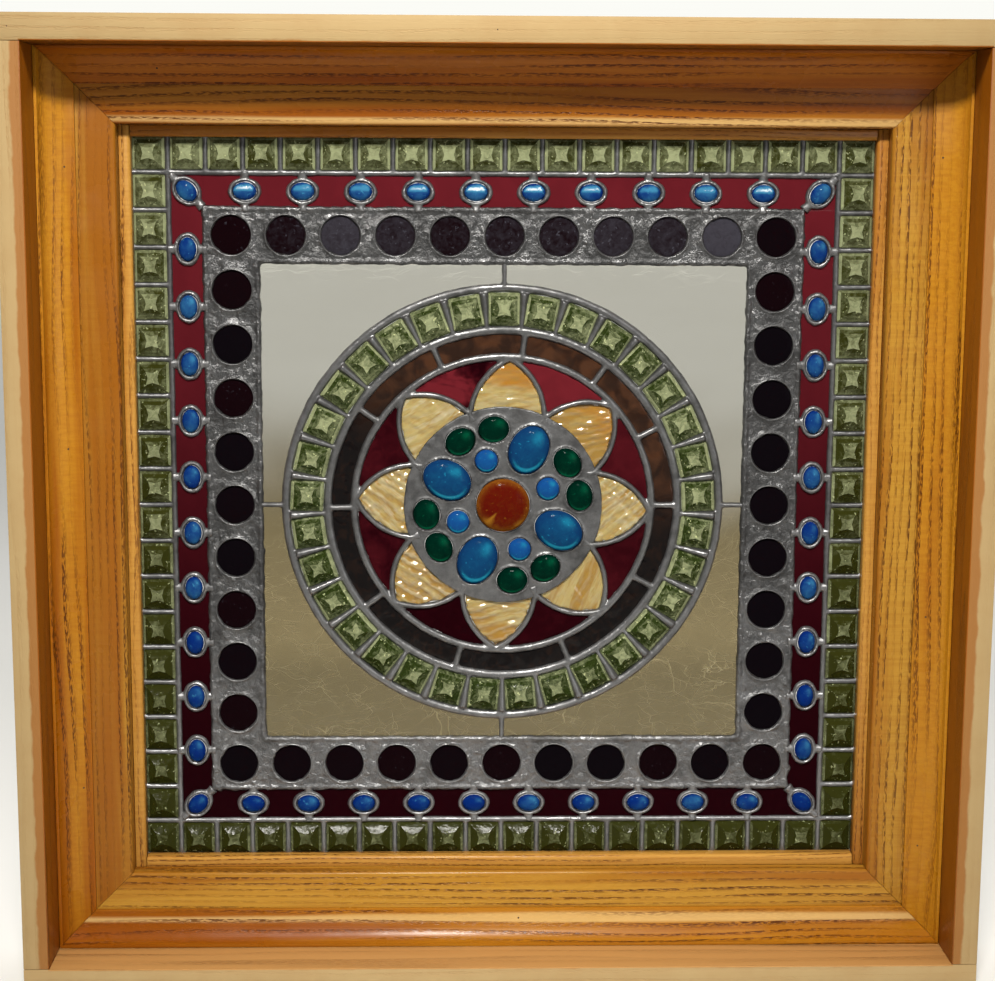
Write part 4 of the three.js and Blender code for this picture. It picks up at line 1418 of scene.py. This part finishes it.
def make_rondels():
    """The dark rondels, pressed with a slight crown."""
    s = sizes()
    c = colours()
    front = s.panel_front - s.ruby_sunk
    one = bmesh.new()
    oval(one, (0, 0), s.rondel + MM, s.rondel + MM, 0, GLASS_BACK, front, 32)
    top = max(one.faces, key=lambda f: f.calc_center_median().z)
    for inset, rise in ((1.6, 0.35), (4.0, 0.3), (5.0, 0.1)):
        bmesh.ops.inset_region(one, faces=[top], thickness=inset * MM, depth=rise * MM)
    dice = random.Random(RONDEL_SEED)
    places = [at(spot) for spot, _, _ in border(s.rondels_per_side, s.rondel_row)]
    bm = copies(one, places)
    lights = {i: dice.random() ** 3 for i in range(len(places))}
    # Painted sheen: the rondels of the top row turn greyish.
    for i, (spot, _, _) in enumerate(border(s.rondels_per_side, s.rondel_row)):
        if spot.y > 0.9 * s.rondel_row and abs(spot.x) < 0.9 * s.rondel_row:
            lights[i] = 1.25 + 0.6 * dice.random()
    each = len(bm.verts) // len(places)
    bm.verts.ensure_lookup_table()
    bm.verts.index_update()
    set_tones(bm, lambda face, loop: lights[loop.vert.index // each])
    sheen = c.violet_sheen
    glass = jewel_glass("violet_rondel", c.violet, c.violet_light, 0.1, 0.6, 0.03, pale=sheen)
    finish(bm, "rondels", glass, "violet_glass", ["lead_web"], 0.9)


def make_boss_jewels():
    """The domed jewels of the boss."""
    c = colours()
    kinds = {
        "centre": ("red_jewel_glass", ("red_centre", c.centre, c.centre_light, 0.15, 0.3, 0.06, 0.10)),
        "big": ("blue_glass", ("blue_big", c.blue, c.blue_light, 0.15, 0.3, 0.08, 0.08)),
        "small": ("blue_glass", ("blue_small", c.blue_small, c.blue_light, 0.15, 0.4, 0.08, 0.08)),
        "emerald": ("emerald_glass", ("emerald", c.emerald, c.emerald_light, 0.1, 0.3, 0.06, 0.08)),
    }
    kinds = {kind: (slot, jewel_glass(*glass)) for kind, (slot, glass) in kinds.items()}
    numbers = {"big": 0, "small": 0}
    emeralds = bmesh.new()
    emerald_domes = []
    for kind, spot, long, wide, rise, turn in boss_places():
        slot, glass = kinds[kind]
        if kind == "emerald":
            verts = cabochon(emeralds, spot, long, wide, rise, turn)
            emerald_domes.append((verts, spot, long, wide, turn))
            continue
        bm = bmesh.new()
        verts = cabochon(bm, spot, long, wide, rise, turn, 40, 20)
        dome_tones(bm, [(verts, spot, long, wide, turn)], amber_wedges if kind == "centre" else None)
        if kind == "centre":
            finish(bm, "centre_dome", glass, slot, ["centre_jewel"], 1.2)
            continue
        numbers[kind] += 1
        node = {"big": "blue_oval", "small": "blue_round"}[kind]
        finish(bm, f"{node}_dome_{numbers[kind]}", glass, slot, [f"{node}_{numbers[kind]}"], 1.2)
    dome_tones(emeralds, emerald_domes)
    finish(emeralds, "emeralds", kinds["emerald"][1], "emerald_glass", ["lead_web"], 1.2)


def rippled(node, name, material, slot, layers, voxel=1.3 * MM):
    """A frame node's glass with a rippled face."""
    bm = bmesh.new()
    bm.from_mesh(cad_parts[node].data)
    bmesh.ops.remove_doubles(bm, verts=bm.verts, dist=1e-5)
    mesh = modified(to_mesh(bm, name), name, None, voxel, 0)
    ruffle(mesh, layers)
    adopt(mesh, name, material, slot, [node], 0.8)


# How light and how patchy the ruby of each wedge is, clockwise from the right of the top petal
WEDGE_TINTS = (
    (1.1, 0.2), (0.42, 0.5), (0.20, 0.6), (0.06, 0.4), (0.0, 0.2), (0.24, 0.9), (0.22, 0.7), (1.2, 1.0)
)


def make_flat_glass():
    """The clear panes, the dark ring and the ruby wedges."""
    crackle = crackle_glass()
    for corner in ("top_right", "top_left", "bottom_left", "bottom_right"):
        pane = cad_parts[f"clear_pane_{corner}"]
        pane.data.materials.clear()
        pane.data.materials.append(crackle)
    ripples = [(0.008, 0.5 * MM, None)]
    dark = dark_glass()
    for i in range(len(DARK_RING_JOINTS)):
        rippled(f"dark_ring_piece_{i + 1}", f"dark_ring_glass_{i + 1}", dark, "dark_glass", ripples)
    for i, (light, patchy) in enumerate(WEDGE_TINTS):
        ruby = ruby_glass(f"ruby_{i + 1}", light, patchy, -0.6, -0.2)
        rippled(f"ruby_wedge_{i + 1}", f"wedge_glass_{i + 1}", ruby, "ruby_glass", ripples)


# Each petal's share of amber, of milk, of ripples and of an amber tip, and the turn of its streaks,
# clockwise from the top
PETAL_TINTS = (
    (0.45, 0.30, 0.35, 0.8, 0.1), (1.0, 0.0, 0.60, 0.5, 0.2), (0.35, 0.60, 0.80, 0.0, 0.7),
    (0.42, 0.12, 0.30, 0.0, 1.1), (0.45, 0.35, 0.85, 0.2, 0.2), (0.64, 0.25, 1.00, 0.0, -0.6),
    (0.40, 0.50, 0.80, 0.0, -0.7), (0.38, 0.62, 0.35, 0.0, 0.5),
)


def make_petals():
    """The opalescent petals, each cut from a sheet with its own streaks."""
    for i, (amber, milk, ripples, tip, turn) in enumerate(PETAL_TINTS):
        glass = opal_glass(f"opal_{i + 1}", amber, milk, ripples, tip, turn)
        heading = Matrix.Rotation(-turn, 3, "Y")
        stretch = Matrix.Diagonal((0.4, 1, 1.3)) @ heading
        layers = [(0.0045, (0.4 + 0.9 * ripples) * MM, stretch), (0.009, 0.5 * MM, None)]
        rippled(f"petal_{i + 1}", f"petal_glass_{i + 1}", glass, "amber_glass", layers, 1.0 * MM)


# Stage

CAMERA_PLACE = (-0.0460, -1.4042, 0.2535)
CAMERA_YAW = math.radians(-1.617)
CAMERA_PITCH = math.radians(-9.288)
CAMERA_ROLL = math.radians(-0.323)
CAMERA_LENS = 71.86
CAMERA_SENSOR = 36
FLOOR_HALF = 12
WORLD_BACK = (0.97, 0.97, 0.92, 1)
WORLD_FRONT = (0.17, 0.17, 0.18, 1)
# Each light's place, width and height, power, colour and spread in degrees
LIGHTS = {
    "key": ((-0.12, -1.65, 1.97), (0.5, 0.22), 7.0, (1.0, 0.97, 0.92), 50),
    "fill": ((1.5, -1.9, 0.7), (1.0, 1.0), 0.9, (1, 1, 1), 60),
    "behind": ((0.3, 2.2, 1.6), (1.6, 1.2), 5, (1, 1, 1), 120),
}


def area_light(name, place, size, power, tint, spread):
    """A soft light that faces the middle of the window."""
    lamp = bpy.data.lights.new(name, "AREA")
    lamp.shape = "RECTANGLE"
    lamp.size, lamp.size_y = size
    lamp.energy = power
    lamp.color = tint
    lamp.spread = math.radians(spread)
    light = placed(name, lamp)
    light.location = place
    light.rotation_euler = (Vector((0, 0, MIDDLE)) - Vector(place)).to_track_quat("-Z", "Y").to_euler()
    light.visible_transmission = False


def make_stage():
    """The pale floor, the soft lights and the camera."""
    bm = bmesh.new()
    bmesh.ops.create_grid(bm, x_segments=1, y_segments=1, size=FLOOR_HALF)
    mesh = bpy.data.meshes.new("stage_floor")
    bm.to_mesh(mesh)
    bm.free()
    mesh.materials.append(stage_floor_material())
    floor = placed("stage_floor", mesh)

    world = bpy.data.worlds.new("studio")
    world.use_nodes = True
    g = Graph(world.node_tree)
    toward = g.parts(g.node("TexCoord").outputs["Generated"])[1]
    sky = world.node_tree.nodes["Background"]
    g.feed(sky.inputs["Color"], g.mix(g.ramp(toward, -0.7, 0.7), WORLD_FRONT, WORLD_BACK))
    bpy.context.scene.world = world
    bpy.context.scene.view_settings.view_transform = "Standard"

    for name, values in LIGHTS.items():
        area_light(name, *values)

    data = bpy.data.cameras.new("camera")
    data.lens = CAMERA_LENS
    data.sensor_width = CAMERA_SENSOR
    camera = placed("camera", data)
    place = Vector(CAMERA_PLACE) + Vector((0, CAD_LOW.y, MIDDLE))
    turn = Matrix.Rotation(CAMERA_YAW, 4, "Z") @ Matrix.Rotation(CAMERA_PITCH, 4, "X")
    turn = turn @ Matrix.Rotation(CAMERA_ROLL, 4, "Y") @ Matrix.Rotation(QUARTER, 4, "X")
    camera.matrix_world = Matrix.Translation(place) @ turn
    bpy.context.scene.camera = camera


# Operators, panel and registration

class WINDOW_OT_box(bpy.types.Operator):
    """Make the boards of the box"""

    bl_idname = "window.box"
    bl_label = "Box"
    bl_options = {"REGISTER", "UNDO"}

    def execute(self, context):
        make_boards()
        return {"FINISHED"}


class WINDOW_OT_mouldings(bpy.types.Operator):
    """Make the coves, the rails, the stop beads and the nail holes"""

    bl_idname = "window.mouldings"
    bl_label = "Mouldings"
    bl_options = {"REGISTER", "UNDO"}

    def execute(self, context):
        make_coves()
        make_rails()
        make_beads()
        make_nail_holes()
        return {"FINISHED"}


class WINDOW_OT_border_leads(bpy.types.Operator):
    """Make the leads of the borders and the band of the rondels"""

    bl_idname = "window.border_leads"
    bl_label = "Border leads"
    bl_options = {"REGISTER", "UNDO"}

    def execute(self, context):
        make_border_leads()
        make_rondel_band()
        return {"FINISHED"}


class WINDOW_OT_flower_leads(bpy.types.Operator):
    """Make the leads of the flower and its rings, and the boss plate"""

    bl_idname = "window.flower_leads"
    bl_label = "Flower leads"
    bl_options = {"REGISTER", "UNDO"}

    def execute(self, context):
        make_ring_leads()
        make_boss_plate()
        return {"FINISHED"}


class WINDOW_OT_flat_glass(bpy.types.Operator):
    """Make the clear panes, the dark ring, the wedges and the petals"""

    bl_idname = "window.flat_glass"
    bl_label = "Flat glass"
    bl_options = {"REGISTER", "UNDO"}

    def execute(self, context):
        make_flat_glass()
        make_petals()
        return {"FINISHED"}


class WINDOW_OT_border_glass(bpy.types.Operator):
    """Make the square jewels, the ovals, the ruby strips and the rondels"""

    bl_idname = "window.border_glass"
    bl_label = "Border glass"
    bl_options = {"REGISTER", "UNDO"}

    def execute(self, context):
        make_square_jewels()
        make_border_ovals()
        make_ruby_strips()
        make_rondels()
        return {"FINISHED"}


class WINDOW_OT_boss_jewels(bpy.types.Operator):
    """Make the domed jewels of the boss"""

    bl_idname = "window.boss_jewels"
    bl_label = "Boss jewels"
    bl_options = {"REGISTER", "UNDO"}

    def execute(self, context):
        make_boss_jewels()
        return {"FINISHED"}


class WINDOW_OT_stage(bpy.types.Operator):
    """Make the floor, the lights and the camera"""

    bl_idname = "window.stage"
    bl_label = "Stage"
    bl_options = {"REGISTER", "UNDO"}

    def execute(self, context):
        make_stage()
        return {"FINISHED"}


OPERATORS = (
    WINDOW_OT_box,
    WINDOW_OT_mouldings,
    WINDOW_OT_border_leads,
    WINDOW_OT_flower_leads,
    WINDOW_OT_flat_glass,
    WINDOW_OT_border_glass,
    WINDOW_OT_boss_jewels,
    WINDOW_OT_stage,
)


class WINDOW_PT_pieces(bpy.types.Panel):
    """The window's pieces, in the order they are made"""

    bl_label = "Leaded Glass Window"
    bl_space_type = "VIEW_3D"
    bl_region_type = "UI"
    bl_category = "Window"

    def draw(self, context):
        for operator in OPERATORS:
            self.layout.operator(operator.bl_idname)


CLASSES = (WindowSizes, WindowColours, *OPERATORS, WINDOW_PT_pieces)


def register():
    for entry in CLASSES:
        bpy.utils.register_class(entry)
    bpy.types.Scene.window_sizes = PointerProperty(type=WindowSizes)
    bpy.types.Scene.window_colours = PointerProperty(type=WindowColours)


def unregister():
    del bpy.types.Scene.window_colours
    del bpy.types.Scene.window_sizes
    for entry in reversed(CLASSES):
        bpy.utils.unregister_class(entry)


def main():
    register()
    bpy.ops.window.box()
    bpy.ops.window.mouldings()
    bpy.ops.window.border_leads()
    bpy.ops.window.flower_leads()
    bpy.ops.window.flat_glass()
    bpy.ops.window.border_glass()
    bpy.ops.window.boss_jewels()
    bpy.ops.window.stage()


if __name__ == "__main__":
    main()
